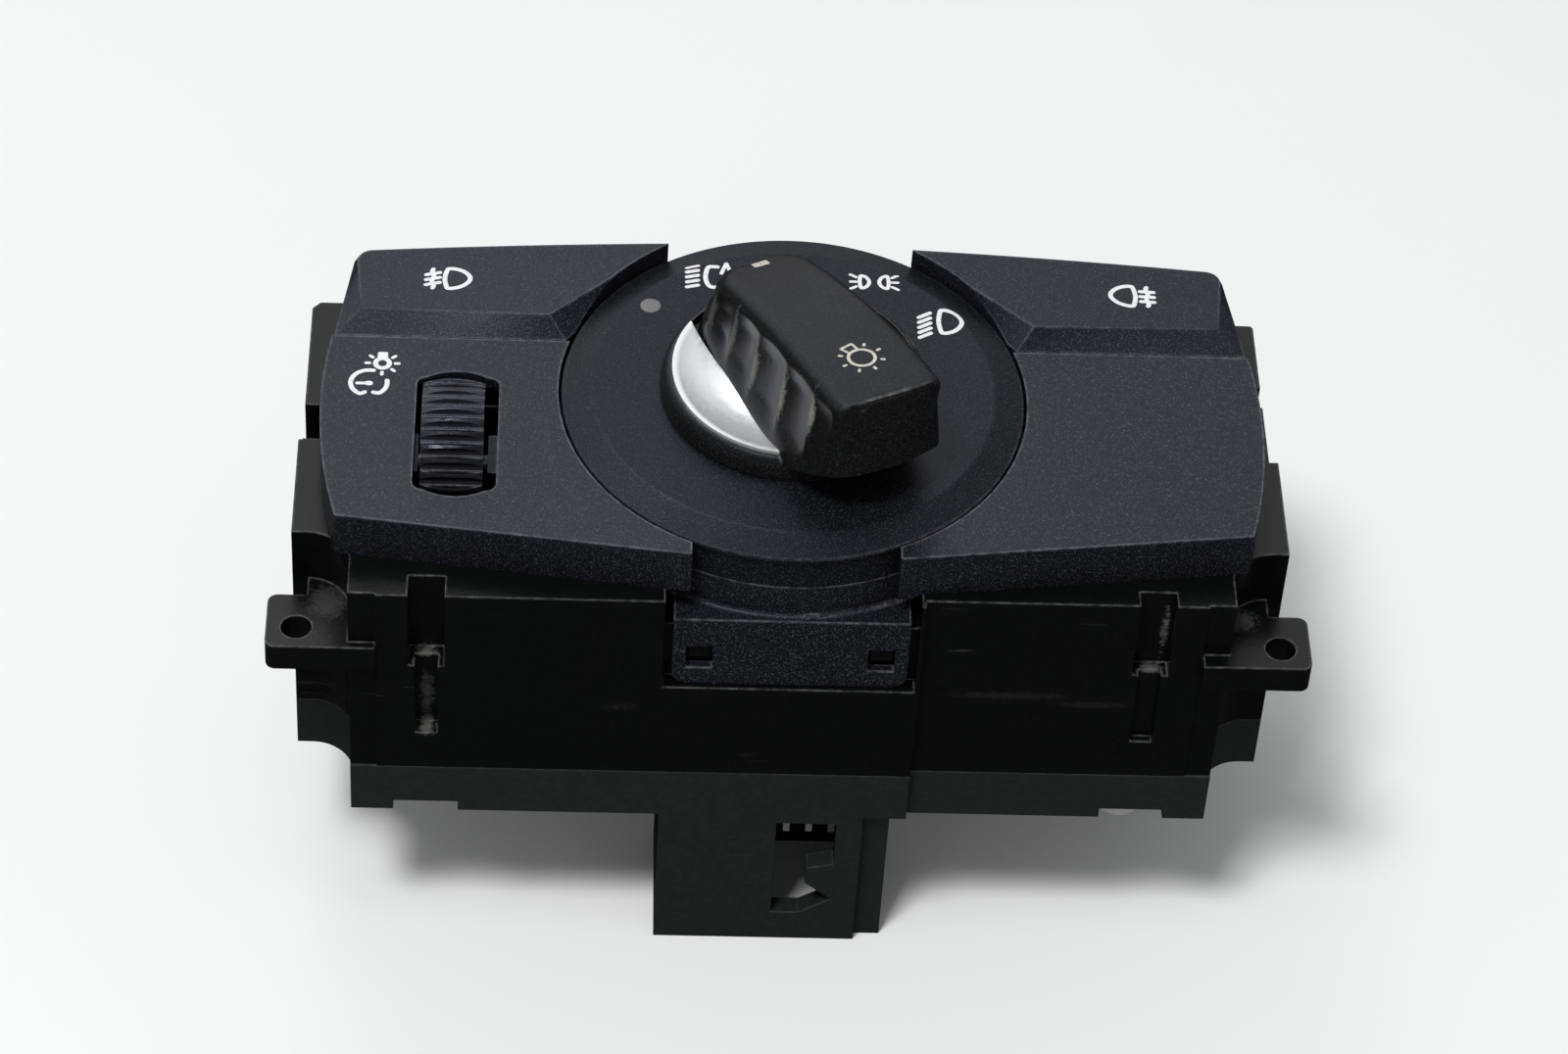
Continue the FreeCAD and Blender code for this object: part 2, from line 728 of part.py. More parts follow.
def bar_outline(sketch, part, back_round, flank_round):
    """Plan of the grip bar at its foot or its head: bowed flanks and ends."""
    half_back = "bar_head_half_back" if part == "head" else "bar_foot_half"
    half_front = "bar_head_half_front" if part == "head" else "bar_foot_half"
    back, front = f"-bar_{part}_back", f"bar_{part}_front"
    corners = [(back, f"-{half_back}"), (front, f"-{half_front}"), (front, half_front), (back, half_back)]
    outline(sketch, corners, {0: (flank_round, -1), 1: ("bar_front_round", -1),
                              2: (flank_round, -1), 3: (back_round, -1)})


def build_knob():
    body = new_body("knob_grip", turned=True)
    foot = new_sketch(body, "bar_foot", "knob_deck - 0.5")
    bar_outline(foot, "foot", "bar_foot_round", "10 * bar_flank_round")
    head = new_sketch(body, "bar_head", "bar_head_level")
    bar_outline(head, "head", "bar_head_round", "bar_flank_round")
    loft = body.newObject("PartDesign::AdditiveLoft", "bar_loft")
    loft.Profile = foot
    loft.Sections = [head]
    loft.Ruled = True
    body.Tip = loft
    for side, word in ((-1, "left"), (1, "right")):
        for index in range(int(number("flute_count"))):
            flute = new_sketch(body, f"flute_{word}_{index}", "knob_deck - 0.5")
            lean(flute, V(1, 0, 0), f"{side} * (flute_lean_first - {index} * flute_lean_step)",
                 f"{side} * bar_foot_half")
            circle(flute, f"flute_first + {index} * flute_pitch", f"{side} * (flute_radius - flute_depth)",
                   "flute_radius")
            cut(body, flute, "2 * bar_head_level", both=True)
    arch = new_sketch(body, "bar_arch", "0", "XZ_Plane")
    outline(arch, [
        ("-arch_reach_back", "arch_back_level"),
        ("arch_reach_front", "arch_front_level"),
        ("arch_reach_front", "bar_head_level + 2"),
        ("-arch_reach_back", "bar_head_level + 2"),
    ], {0: ("arch_radius", 1)})
    cut(body, arch, "4 * bar_foot_half", both=True)
    cone = new_sketch(body, "bar_underside", "0", "XZ_Plane")
    outline(cone, [
        ("knob_top_radius", "knob_deck - 2"),
        ("cone_reach", "knob_deck - 2"),
        ("cone_reach", "cone_level"),
        ("knob_radius", "knob_deck - 0.5"),
        ("knob_top_radius", "knob_deck - 0.5"),
    ])
    turn(body, cone, "Groove")
    skirt = new_sketch(body, "knob_skirt", "0", "XZ_Plane")
    foot_level = "dial_rise + knob_lift"
    outline(skirt, [
        ("0", "hub_bottom"),
        ("hub_radius", "hub_bottom"),
        ("hub_radius", foot_level),
        ("knob_radius", foot_level),
        ("knob_radius", foot_level + " + skirt_height"),
        ("knob_top_radius", "knob_deck"),
        ("0", "knob_deck"),
    ])
    turn(body, skirt)
    for side, word in ((-1, "left"), (1, "right")):
        pocket = new_sketch(body, f"trim_pocket_{word}", "knob_deck")
        crescent(pocket, side)
        cut(body, pocket, "trim_depth")
    disc_cut(body, "shaft_socket", "0", "0", "shaft_radius", "hub_bottom - 1", "shaft_top")
    disc_cut(body, "guide_bore", "0", "0", "shaft_bore", "hub_bottom - 1", "arch_back_level + 3")

    for side, word in ((-1, "left"), (1, "right")):
        trim = new_body(f"knob_trim_{word}", turned=True)
        sketch = new_sketch(trim, f"trim_{word}", "knob_deck - trim_depth")
        crescent(sketch, side)
        slab(trim, sketch, "trim_depth + trim_rise")
        dish = new_sketch(trim, f"trim_dish_{word}", "0", "XZ_Plane")
        top = "knob_deck + trim_rise"
        outline(dish, [("dish_inner", top), ("dish_outer", top), ("dish_outer", f"{top} + 1"),
                       ("dish_inner", f"{top} + 1")], {0: ("dish_round", -1)})
        turn(trim, dish, "Groove")

    shaft = new_body("knob_shaft", turned=True)
    profile = new_sketch(shaft, "shaft_profile", "0", "XZ_Plane")
    outline(profile, [
        ("shaft_bore", "shaft_bottom"),
        ("shaft_radius", "shaft_bottom"),
        ("shaft_radius", "star_bottom"),
        ("star_radius", "star_bottom"),
        ("star_radius", "star_top"),
        ("shaft_radius", "star_top"),
        ("shaft_radius", "shaft_top"),
        ("shaft_bore", "shaft_top"),
    ])
    turn(shaft, profile)
    notches = new_sketch(shaft, "detent_notches", "star_top + 1")
    for index in range(-1, 4):
        angle = f"({index} * detent_step - knob_angle) * 1 deg"
        reach = "(star_radius + notch_radius - notch_depth)"
        circle(notches, f"{reach} * cos({angle})", f"{reach} * sin({angle})", "notch_radius")
    cut(shaft, notches, "star_top - star_bottom + 2")

    guide = new_body("knob_light_guide", turned=True)
    disc(guide, "guide_rod", "0", "0", "shaft_bore - guide_play", "shaft_bottom", "arch_back_level + 3")

    wiper = new_body("contact_wiper", turned=True)
    disc(wiper, "wiper_disc", "0", "0", "shaft_radius + 6", "shaft_bottom - 0.6", "shaft_bottom",
         "shaft_bore - guide_play")
    for side, word in ((-1, "left"), (1, "right")):
        edges = ("shaft_radius + 2", "shaft_radius + 5") if side > 0 else ("-shaft_radius - 5", "-shaft_radius - 2")
        block(wiper, f"wiper_finger_{word}", *edges, "-1", "1", "board_top + 0.1", "shaft_bottom - 0.3")


def crescent(sketch, side):
    """Circular segment between the bar's foot and the knob's rim."""
    radius = "(knob_top_radius - trim_inset)"
    flat = "(bar_foot_half + trim_inset)"
    reach = chord_x(radius, flat)
    outline(sketch, [(f"-{reach}", f"{side} * {flat}"), (reach, f"{side} * {flat}")], {1: (radius, -side)})


# Drum that carries the knob's shaft, with the sprung detent plunger in its side pocket

def build_drum():
    body = new_body("switch_drum")
    top = "collar_bottom"
    under = "collar_bottom - flange_height"
    disc(body, "drum_flange", "0", "0", "flange_radius", under, top)
    disc(body, "drum_wall", "0", "0", "drum_radius", "board_top", under, "drum_radius - drum_wall")
    disc(body, "drum_bearing", "0", "0", "bearing_radius", "bearing_bottom", "bearing_top")
    middle = "((star_top + star_bottom) / 2)"
    leaf_seat = "(star_radius + plunger_gap + plunger_length + leaf_rise)"
    half_wide = "(leaf_half + pocket_wall)"
    half_high = "(plunger_radius + pocket_wall)"
    block(body, "detent_pocket", "star_radius + 1.5", leaf_seat + " + pocket_wall", f"-{half_wide}", half_wide,
          f"{middle} - {half_high}", f"{middle} + {half_high}")
    bore = new_sketch(body, "detent_bore", "star_radius", "YZ_Plane")
    circle(bore, "0", middle, "plunger_radius + shaft_play")
    cut(body, bore, f"{leaf_seat} - star_radius", reverse=True)
    box_cut(body, "leaf_slot", f"{leaf_seat} - leaf_rise", leaf_seat, "-leaf_half - 0.1", "leaf_half + 0.1",
            f"{middle} - {half_high} - 1", f"{middle} + plunger_radius")
    disc_cut(body, "bearing_bore", "0", "0", "shaft_radius + shaft_play", "bearing_bottom - 1", "bearing_top + 1")
    holes = new_sketch(body, "drum_holes", "collar_bottom + 1")
    for index in range(3):
        angle = 90 + 120 * index
        circle(holes, f"boss_ring * cos({angle} deg)", f"boss_ring * sin({angle} deg)", "screw_radius + 0.1")
    cut(body, holes, "flange_height + 2")

    plunger = new_body("detent_plunger")
    tip = new_sketch(plunger, "plunger_section", "star_radius + plunger_gap", "YZ_Plane")
    circle(tip, "0", middle, "plunger_radius")
    slab(plunger, tip, "plunger_length")

    spring = new_body("detent_spring")
    leaf = new_sketch(spring, "leaf_plan", f"{middle} - plunger_radius + 0.2")
    inner_half = "(leaf_half - leaf_strip)"
    inner_rise = "(leaf_rise - leaf_strip)"
    outline(leaf, [
        (leaf_seat, "-leaf_half"),
        (leaf_seat, "leaf_half"),
        (leaf_seat, inner_half),
        (leaf_seat, f"-{inner_half}"),
    ], {0: ("(leaf_half^2 + leaf_rise^2) / (2 * leaf_rise)", 1),
        2: (f"({inner_half}^2 + {inner_rise}^2) / (2 * {inner_rise})", -1)})
    slab(spring, leaf, "2 * plunger_radius - 0.4")

    screws = new_body("drum_screws")
    heads = new_sketch(screws, "drum_screw_heads", f"{under} - board_head_height")
    shanks = new_sketch(screws, "drum_screw_shanks", under)
    for index in range(3):
        angle = 90 + 120 * index
        place = (f"boss_ring * cos({angle} deg)", f"boss_ring * sin({angle} deg)")
        circle(heads, *place, "board_head_radius")
        circle(shanks, *place, "screw_radius")
    several(screws, heads, "board_head_height")
    several(screws, shanks, "flange_height + 4")


def several(body, sketch, thickness):
    """A pad that leaves separate solids, one for each fastener."""
    body.AllowCompound = True
    return slab(body, sketch, thickness)


# Thumbwheel of the dimmer, with its potentiometer and leads

def build_wheel():
    body = new_body("dimmer_wheel")
    profile = new_sketch(body, "wheel_profile", "0", "XZ_Plane")
    half = "(wheel_width / 2)"
    journal = "(wheel_width / 2 + cheek_gap + cheek_wall - 0.3)"
    pin = f"({half} + cheek_gap + cheek_wall + pot_wall - 0.5)"
    crown = f"(({half})^2 / (2 * (wheel_radius - wheel_edge_radius)) + (wheel_radius - wheel_edge_radius) / 2)"
    outline(profile, [
        (f"-{journal}", "0"),
        (pin, "0"),
        (pin, "journal_radius"),
        (half, "journal_radius"),
        (half, "wheel_edge_radius"),
        (f"-{half}", "wheel_edge_radius"),
        (f"-{half}", "journal_radius"),
        (f"-{journal}", "journal_radius"),
    ], {4: (crown, -1)})
    wheel = body.newObject("PartDesign::Revolution", "wheel_turn")
    wheel.Profile = profile
    wheel.ReferenceAxis = (profile, ["H_Axis"])
    wheel.Angle = 360
    body.Tip = wheel
    flute = new_sketch(body, "wheel_flute", "0", "YZ_Plane")
    circle(flute, "0", "wheel_radius + wheel_flute_radius - wheel_flute_depth", "wheel_flute_radius")
    first = cut(body, flute, "wheel_width + 1", both=True)
    pattern = body.newObject("PartDesign::PolarPattern", "wheel_flutes")
    pattern.Originals = [first]
    pattern.Axis = (profile, ["H_Axis"])
    pattern.Angle = 360
    bind(pattern, "Occurrences", "wheel_flutes")
    body.Tip = pattern
    bind(body, "Placement.Base.x", "wheel_x")
    bind(body, "Placement.Base.y", "dial_from_ears + wheel_y")
    bind(body, "Placement.Base.z", "face_above_ears + wheel_z")

    pot = new_body("dimmer_potentiometer")
    near = "wheel_x + wheel_width / 2 + cheek_gap + cheek_wall"
    block(pot, "pot_case", near, near + " + pot_wall", "wheel_y - pot_half", "wheel_y + pot_half",
          "wheel_z - pot_half", "wheel_z + pot_half")
    hole = new_sketch(pot, "pot_bore", near, "YZ_Plane")
    circle(hole, "wheel_y", "wheel_z", "journal_radius + journal_play")
    cut(pot, hole, "pot_wall - 0.4", reverse=True)

    leads = new_body("dimmer_leads")
    sketch = new_sketch(leads, "lead_sections", "board_top")
    for index in (-1, 0, 1):
        box_outline(sketch, near + " + pot_wall / 2 - 0.3", near + " + pot_wall / 2 + 0.3",
                    f"wheel_y + {index} * 2.5 - 0.4", f"wheel_y + {index} * 2.5 + 0.4")
    several(leads, sketch, "wheel_z - pot_half - board_top")


# Housing: deep box with wings, ears and guide slots

def body_plan(sketch):
    """Outer plan that the housing and the rear cover share."""
    right = [
        ("body_half", "body_front"),
        ("body_half", "wing_front - cove_radius"),
        ("body_half + cove_radius", "wing_front"),
        ("wing_reach", "wing_front"),
        ("wing_reach", "wing_back"),
        ("wing_reach - wing_chamfer", "body_back"),
    ]
    left = [(f"-({x})", y) for x, y in reversed(right)]
    outline(sketch, right + left, {1: ("cove_radius", 1), 9: ("cove_radius", 1)})


def body_hollow(sketch):
    inner = "body_half - body_wall"
    wing = "wing_reach - body_wall"
    right = [
        (inner, "body_front + front_wall"),
        (inner, "wing_front + body_wall"),
        (wing, "wing_front + body_wall"),
        (wing, "wing_back - body_wall"),
        (inner, "body_back - body_wall"),
    ]
    left = [(f"-({x})", y) for x, y in reversed(right)]
    outline(sketch, right + left)


def cover_screw_places():
    return [("cover_screw_x", "cover_screw_front"), ("cover_screw_x", "cover_screw_back"),
            ("-cover_screw_x", "cover_screw_back")]


def board_screw_places():
    return [(f"{side} * post_{end}_reach", f"post_{end}") for side in (-1, 1) for end in ("front", "back")]


def build_housing():
    body = new_body("housing")
    plan = new_sketch(body, "body_plan", "body_bottom")
    body_plan(plan)
    slab(body, plan, "-panel_height - body_bottom")
    box_cut(body, "front_step", "step_x", "body_half + 1", "body_front - 1", "body_front + step_depth",
            "body_bottom - 1", "-panel_height + 1")
    for side, word, set_in in ((-1, "left", "strip_depth"), (1, "right", "step_depth + strip_depth")):
        edges = ("ear_root", "body_half + 1") if side > 0 else ("-body_half - 1", "-ear_root")
        box_cut(body, f"end_strip_{word}", *edges, "body_front - 1", f"body_front + {set_in}",
                "body_bottom - 1", "-panel_height + 1")
        trim_wing(body, side, word)
    under_deck = "(-panel_height - deck_wall)"
    hollow = new_sketch(body, "body_hollow", under_deck)
    body_hollow(hollow)
    cut(body, hollow, f"{under_deck} - body_bottom")
    for side, word in ((-1, "left"), (1, "right")):
        centre = f"{side} * slot_reach"
        block(body, f"slot_casing_{word}", f"{centre} - slot_top_width / 2 - slot_wall",
              f"{centre} + slot_top_width / 2 + slot_wall", "body_front + front_wall",
              "body_front + slot_depth + slot_wall", "slot_bottom - slot_wall", under_deck)
        stem = sided(side, "stem_reach")
        half_x = "(stem_width / 2 + stem_play + sleeve_wall)"
        half_y = "(stem_depth / 2 + stem_play + sleeve_wall)"
        block(body, f"sleeve_{word}", f"{stem} - {half_x}", f"{stem} + {half_x}", f"stem_back - {half_y}",
              f"stem_back + {half_y}", "sleeve_bottom", under_deck)
    block(body, "tongue_backing", "-recess_half - body_wall", "recess_half + body_wall",
          "body_front + front_wall", "recess_back + front_wall", "recess_bottom - body_wall", "backing_top")
    for index, (x, y) in enumerate(board_screw_places()):
        disc(body, f"board_post_{index}", x, y, "post_radius", "board_top", under_deck)
    for index, (x, y) in enumerate(cover_screw_places()):
        disc(body, f"cover_post_{index}", x, y, "cover_boss_radius", "body_bottom", under_deck)
    ears = new_sketch(body, "ears", "-face_above_ears - ear_height")
    for side in (-1, 1):
        outline(ears, [
            (f"{side} * ear_root", "ear_front"),
            (f"{side} * (ear_reach - ear_corner)", "ear_front"),
            (f"{side} * ear_reach", "ear_front + ear_corner"),
            (f"{side} * ear_reach", "ear_back - ear_corner"),
            (f"{side} * (ear_reach - ear_corner)", "ear_back"),
            (f"{side} * (body_half + cove_radius)", "ear_back"),
            (f"{side} * (body_half + cove_radius)", "wing_front"),
            (f"{side} * (body_half - 1)", "wing_front"),
            (f"{side} * (body_half - 1)", "body_front + front_wall - 1"),
            (f"{side} * ear_root", "body_front + front_wall - 1"),
        ], {1: ("ear_corner", -side), 3: ("ear_corner", -side)})
    slab(body, ears, "ear_height")
    holes = new_sketch(body, "ear_holes", "-face_above_ears")
    for side in (-1, 1):
        circle(holes, f"{side} * ear_hole_reach", "-dial_from_ears", "ear_hole_radius")
    cut(body, holes, "ear_height")
    for side, word in ((-1, "left"), (1, "right")):
        centre = f"{side} * slot_reach"
        box_cut(body, f"slot_top_{word}", f"{centre} - slot_top_width / 2", f"{centre} + slot_top_width / 2",
                "body_front - 1", "body_front + slot_depth", "slot_step", "-panel_height + 1")
        box_cut(body, f"slot_low_{word}", f"{centre} - slot_low_width / 2", f"{centre} + slot_low_width / 2",
                "body_front - 1", "body_front + slot_low_depth", "slot_bottom", "slot_step + 1")
        stem = sided(side, "stem_reach")
        box_cut(body, f"stem_hole_{word}", f"{stem} - stem_width / 2 - stem_play",
                f"{stem} + stem_width / 2 + stem_play", "stem_back - stem_depth / 2 - stem_play",
                "stem_back + stem_depth / 2 + stem_play", "sleeve_bottom - 1", "-panel_height + 1")
    box_cut(body, "tongue_recess", "-recess_half", "recess_half", "body_front - 1", "recess_back",
            "recess_bottom", "-panel_height + 1")
    box_cut(body, "shelf_recess", "-recess_half", "recess_half", "body_front - 1", "recess_back + front_wall + 1",
            "backing_top", "-panel_height + 1")
    disc_cut(body, "dial_opening", "0", "0", "barrel_radius + 0.9", "collar_bottom - 4", "-panel_height + 1")
    box_cut(body, "bridge_opening", "-(opening_radius + panel_wall) - 0.5",
            "opening_radius + panel_wall + 0.5", "-bridge_half - 0.5", "bridge_half + 0.5",
            f"{under_deck} - 1", "-panel_height + 1")
    box_cut(body, "wheel_opening", "wheel_x - wheel_width / 2 - cheek_gap - cheek_wall - 1",
            "-(opening_radius + panel_wall)", "wheel_y - wheel_radius - 1", "wheel_y + wheel_radius + 1",
            f"{under_deck} - 1", "-panel_height + 1")
    for side, word in ((-1, "left"), (1, "right")):
        lug = new_sketch(body, f"lug_{word}", "-recess_back", "XZ_Plane")
        box_outline(lug, f"{side} * snap_reach - snap_width / 2 + 0.4", f"{side} * snap_reach + snap_width / 2 - 0.4",
                    "snap_bottom + 1.6", "snap_top - 0.5")
        slab(body, lug, "lug_height")
    bores = new_sketch(body, "board_screw_bores", "board_top + board_screw_length")
    for x, y in board_screw_places():
        circle(bores, x, y, "screw_radius")
    cut(body, bores, "board_screw_length")
    bores = new_sketch(body, "cover_screw_bores", "cover_bottom + cover_screw_length")
    for x, y in cover_screw_places():
        circle(bores, x, y, "screw_radius")
    cut(body, bores, "cover_bottom + cover_screw_length - body_bottom")


def trim_wing(body, side, word):
    """A wing's top lies a little under the deck; its back half is set in, with a notch for the loom's clip."""
    def band(near):
        far = "wing_reach + 1"
        return (near, far) if side > 0 else (f"-({far})", f"-({near})")

    box_cut(body, f"wing_top_{word}", *band("body_half + 0.4"), "wing_front - cove_radius", "body_back + 1",
            "-panel_height - wing_drop", "-panel_height + 1")
    box_cut(body, f"wing_shoulder_{word}", *band(f"wing_reach - shoulder_{word}"), "shoulder_front",
            "body_back + 1", "notch_floor", "-panel_height + 1")
    box_cut(body, f"wing_notch_{word}", *band("body_half + 0.4"), f"notch_{word}_front", f"notch_{word}_back",
            "notch_floor", "-panel_height + 1")


# Rear cover with the connector's shroud

def build_cover():
    body = new_body("rear_cover")
    plan = new_sketch(body, "cover_plan", "cover_bottom")
    body_plan(plan)
    slab(body, plan, "body_bottom - cover_bottom")
    hollow = new_sketch(body, "cover_hollow", "body_bottom")
    body_hollow(hollow)
    cut(body, hollow, "body_bottom - cover_bottom - cover_floor")
    for index, (x, y) in enumerate(cover_screw_places()):
        disc(body, f"cover_boss_{index}", x, y, "cover_boss_radius", "cover_bottom + 0.5", "body_bottom")
    block(body, "shroud", "shroud_left", "shroud_right", "body_front", "shroud_back", "shroud_bottom",
          "cover_bottom + 1")
    box_cut(body, "shroud_step", "shroud_step_x", "shroud_right + 1", "body_front - 1",
            "body_front + step_depth", "shroud_bottom - 1", "cover_bottom")
    box_cut(body, "cover_step", "step_x", "body_half + 1", "body_front - 1", "body_front + step_depth",
            "cover_bottom - 1", "body_bottom + 1")
    box_cut(body, "socket", "shroud_left + shroud_wall", "shroud_right - shroud_wall",
            "body_front + step_depth + shroud_wall", "shroud_back - shroud_wall", "shroud_bottom - 1",
            "socket_floor")
    window = new_sketch(body, "socket_window", "-body_front + 1", "XZ_Plane")
    outline(window, [
        ("window_left", "window_bottom"),
        ("window_left + 4.3", "window_bottom"),
        ("window_right", "window_bottom + 3.3"),
        ("window_left + 5", "window_bottom + 7"),
        ("window_left + 5", "window_bottom + 10.5"),
        ("window_right", "window_bottom + 11.5"),
        ("window_right", "window_top"),
        ("window_left", "window_top"),
    ])
    cut(body, window, "step_depth + shroud_wall + 2")
    slots = new_sketch(body, "header_slot", "cover_bottom + cover_floor + 1")
    box_outline(slots, "pin_first_x - pin_width", "pin_first_x + pin_pitch * (pin_columns - 1) + pin_width",
                "pin_row_y - pin_width", "pin_row_y + pin_row_gap + pin_width")
    cut(body, slots, "cover_bottom + cover_floor + 2 - socket_floor")
    for side, word in ((-1, "left"), (1, "right")):
        near = sided(side, "notch_inner")
        far = sided(side, "notch_outer")
        edges = (near, far) if side > 0 else (far, near)
        box_cut(body, f"foot_notch_{word}", *edges, "body_front - 1", "body_front + front_wall + 0.5",
                "cover_bottom - 1", "cover_bottom + notch_rise")
    bores = new_sketch(body, "cover_bores", "body_bottom + 1")
    for x, y in cover_screw_places():
        circle(bores, x, y, "screw_radius + 0.1")
    cut(body, bores, "body_bottom - cover_bottom + 2")

    screws = new_body("cover_screws")
    heads = new_sketch(screws, "cover_screw_heads", "cover_bottom - cover_head_height")
    shanks = new_sketch(screws, "cover_screw_shanks", "cover_bottom")
    for x, y in cover_screw_places():
        circle(heads, x, y, "cover_head_radius")
        circle(shanks, x, y, "screw_radius")
    several(screws, heads, "cover_head_height")
    several(screws, shanks, "cover_screw_length")


# Circuit board, what is soldered to it, and the connector's pins

def pin_places():
    columns = int(number("pin_columns"))
    return [(f"pin_first_x + {column} * pin_pitch", f"pin_row_y + {line} * pin_row_gap")
            for line in (0, 1) for column in range(columns)]


def pin_squares(sketch, play):
    for x, y in pin_places():
        half = f"(pin_width / 2 + {play})"
        box_outline(sketch, f"{x} - {half}", f"{x} + {half}", f"{y} - {half}", f"{y} + {half}")


def build_board():
    body = new_body("circuit_board")
    plan = new_sketch(body, "board_plan", "board_top - board_wall")
    reach = "(body_half - body_wall - board_play)"
    front = "(body_front + front_wall + board_play)"
    back = "(body_back - body_wall - board_play)"
    side_step = "(cover_screw_x - cover_boss_radius - 0.6)"
    front_step = "(cover_screw_front + cover_boss_radius + 0.6)"
    back_step = "(cover_screw_back - cover_boss_radius - 0.6)"
    outline(plan, [
        (f"-{reach}", front),
        (side_step, front),
        (side_step, front_step),
        (reach, front_step),
        (reach, back_step),
        (side_step, back_step),
        (side_step, back),
        (f"-{side_step}", back),
        (f"-{side_step}", back_step),
        (f"-{reach}", back_step),
    ])
    slab(body, plan, "board_wall")
    holes = new_sketch(body, "board_holes", "board_top + 1")
    for x, y in board_screw_places():
        circle(holes, x, y, "screw_radius + 0.1")
    pin_squares(holes, "pin_hole_play")
    cut(body, holes, "board_wall + 2")

    screws = new_body("board_screws")
    heads = new_sketch(screws, "board_screw_heads", "board_top - board_wall - board_head_height")
    shanks = new_sketch(screws, "board_screw_shanks", "board_top - board_wall")
    for x, y in board_screw_places():
        circle(heads, x, y, "board_head_radius")
        circle(shanks, x, y, "screw_radius")
    several(screws, heads, "board_head_height")
    several(screws, shanks, "board_screw_length")

    header = new_body("pin_header")
    sketch = new_sketch(header, "header_plan", "cover_bottom + cover_floor")
    box_outline(sketch, "pin_first_x - 1.5 * pin_width", "pin_first_x + pin_pitch * (pin_columns - 1) + 1.5 * pin_width",
                "pin_row_y - 1.5 * pin_width", "pin_row_y + pin_row_gap + 1.5 * pin_width")
    pin_squares(sketch, "0")
    slab(header, sketch, "board_top - board_wall - cover_bottom - cover_floor")

    pins = new_body("connector_pins")
    sketch = new_sketch(pins, "pin_sections", "pin_tip")
    pin_squares(sketch, "0")
    several(pins, sketch, "board_top + 1.2 - pin_tip")

    parts = new_body("board_parts")
    chips = new_sketch(parts, "board_part_plans", "board_top")
    for x, y, wide, deep in (("drum_radius + 7.5", "-6", 5, 5), ("-drum_radius - 11.5", "-16", 3.5, 2.5),
                             ("-drum_radius - 7.5", "14", 2.5, 3.5), ("drum_radius + 10.5", "10", 3, 2),
                             ("drum_radius + 25.5", "-12", 4, 6)):
        box_outline(chips, f"{x} - {wide}", f"{x} + {wide}", f"{y} - {deep}", f"{y} + {deep}")
    several(parts, chips, "1.8")

    lamps = new_body("signal_lamps")
    sketch = new_sketch(lamps, "lamp_plans", "board_top")
    for angle in (145, 60, 31):
        x = f"lamp_ring * cos({angle} deg)"
        y = f"lamp_ring * sin({angle} deg)"
        box_outline(sketch, f"{x} - 1.6", f"{x} + 1.6", f"{y} - 1.4", f"{y} + 1.4")
    several(lamps, sketch, "1.9")


build_front_panel()
build_dial()
build_button(-1, "front")
build_button(1, "rear")
build_knob()
build_drum()
build_wheel()
build_housing()
build_cover()
build_board()

doc.recompute()

# Every feature has to be sound, and every cut has to remove something, before anything is written
for thing in doc.Objects:
    if {"Invalid", "Error"} & set(thing.State):
        raise RuntimeError(f"{thing.Name} failed: {thing.State}")
    if thing.TypeId in ("PartDesign::Pocket", "PartDesign::Groove"):
        base = thing.BaseFeature.Shape.Volume
        if thing.Shape.Volume > base - 1e-6:
            raise RuntimeError(f"{thing.Name} cuts nothing")

os.makedirs("parts", exist_ok=True)
for piece in PIECES:
    shape = piece.Shape
    if shape.isNull() or not shape.isValid():
        raise RuntimeError(f"{piece.Label} has no valid shape")
    shape.exportStep(f"parts/{piece.Label}.step")
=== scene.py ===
import json
from math import cos, pi, radians, sin, sqrt

import bmesh
import bpy
from mathutils import Matrix, Vector
from mathutils.bvhtree import BVHTree

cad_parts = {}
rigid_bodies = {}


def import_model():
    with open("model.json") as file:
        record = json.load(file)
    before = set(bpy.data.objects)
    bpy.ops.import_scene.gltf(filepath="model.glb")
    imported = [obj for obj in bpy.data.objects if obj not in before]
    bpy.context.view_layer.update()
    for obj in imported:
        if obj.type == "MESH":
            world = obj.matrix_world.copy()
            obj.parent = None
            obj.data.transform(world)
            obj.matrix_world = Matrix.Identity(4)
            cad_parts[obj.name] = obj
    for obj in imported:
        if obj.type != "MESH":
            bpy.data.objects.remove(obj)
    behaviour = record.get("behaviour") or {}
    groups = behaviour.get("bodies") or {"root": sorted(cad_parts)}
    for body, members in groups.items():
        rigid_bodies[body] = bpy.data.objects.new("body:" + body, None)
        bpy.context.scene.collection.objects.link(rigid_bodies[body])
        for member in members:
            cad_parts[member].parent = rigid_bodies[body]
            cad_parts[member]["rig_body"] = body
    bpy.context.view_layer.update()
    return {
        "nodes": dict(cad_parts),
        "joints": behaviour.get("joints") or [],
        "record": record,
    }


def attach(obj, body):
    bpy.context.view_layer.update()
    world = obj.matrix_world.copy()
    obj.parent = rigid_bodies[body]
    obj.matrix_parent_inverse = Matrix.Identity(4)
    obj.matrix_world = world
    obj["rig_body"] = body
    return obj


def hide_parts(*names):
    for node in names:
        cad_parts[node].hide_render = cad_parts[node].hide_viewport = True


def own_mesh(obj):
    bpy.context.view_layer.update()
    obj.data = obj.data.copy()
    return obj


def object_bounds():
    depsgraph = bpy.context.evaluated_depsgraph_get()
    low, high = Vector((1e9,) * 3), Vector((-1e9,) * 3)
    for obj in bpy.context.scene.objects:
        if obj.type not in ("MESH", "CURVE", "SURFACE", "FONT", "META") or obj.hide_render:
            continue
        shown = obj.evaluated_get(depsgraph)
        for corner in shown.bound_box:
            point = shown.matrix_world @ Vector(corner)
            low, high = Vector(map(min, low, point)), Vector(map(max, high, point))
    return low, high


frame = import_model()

scene = bpy.context.scene

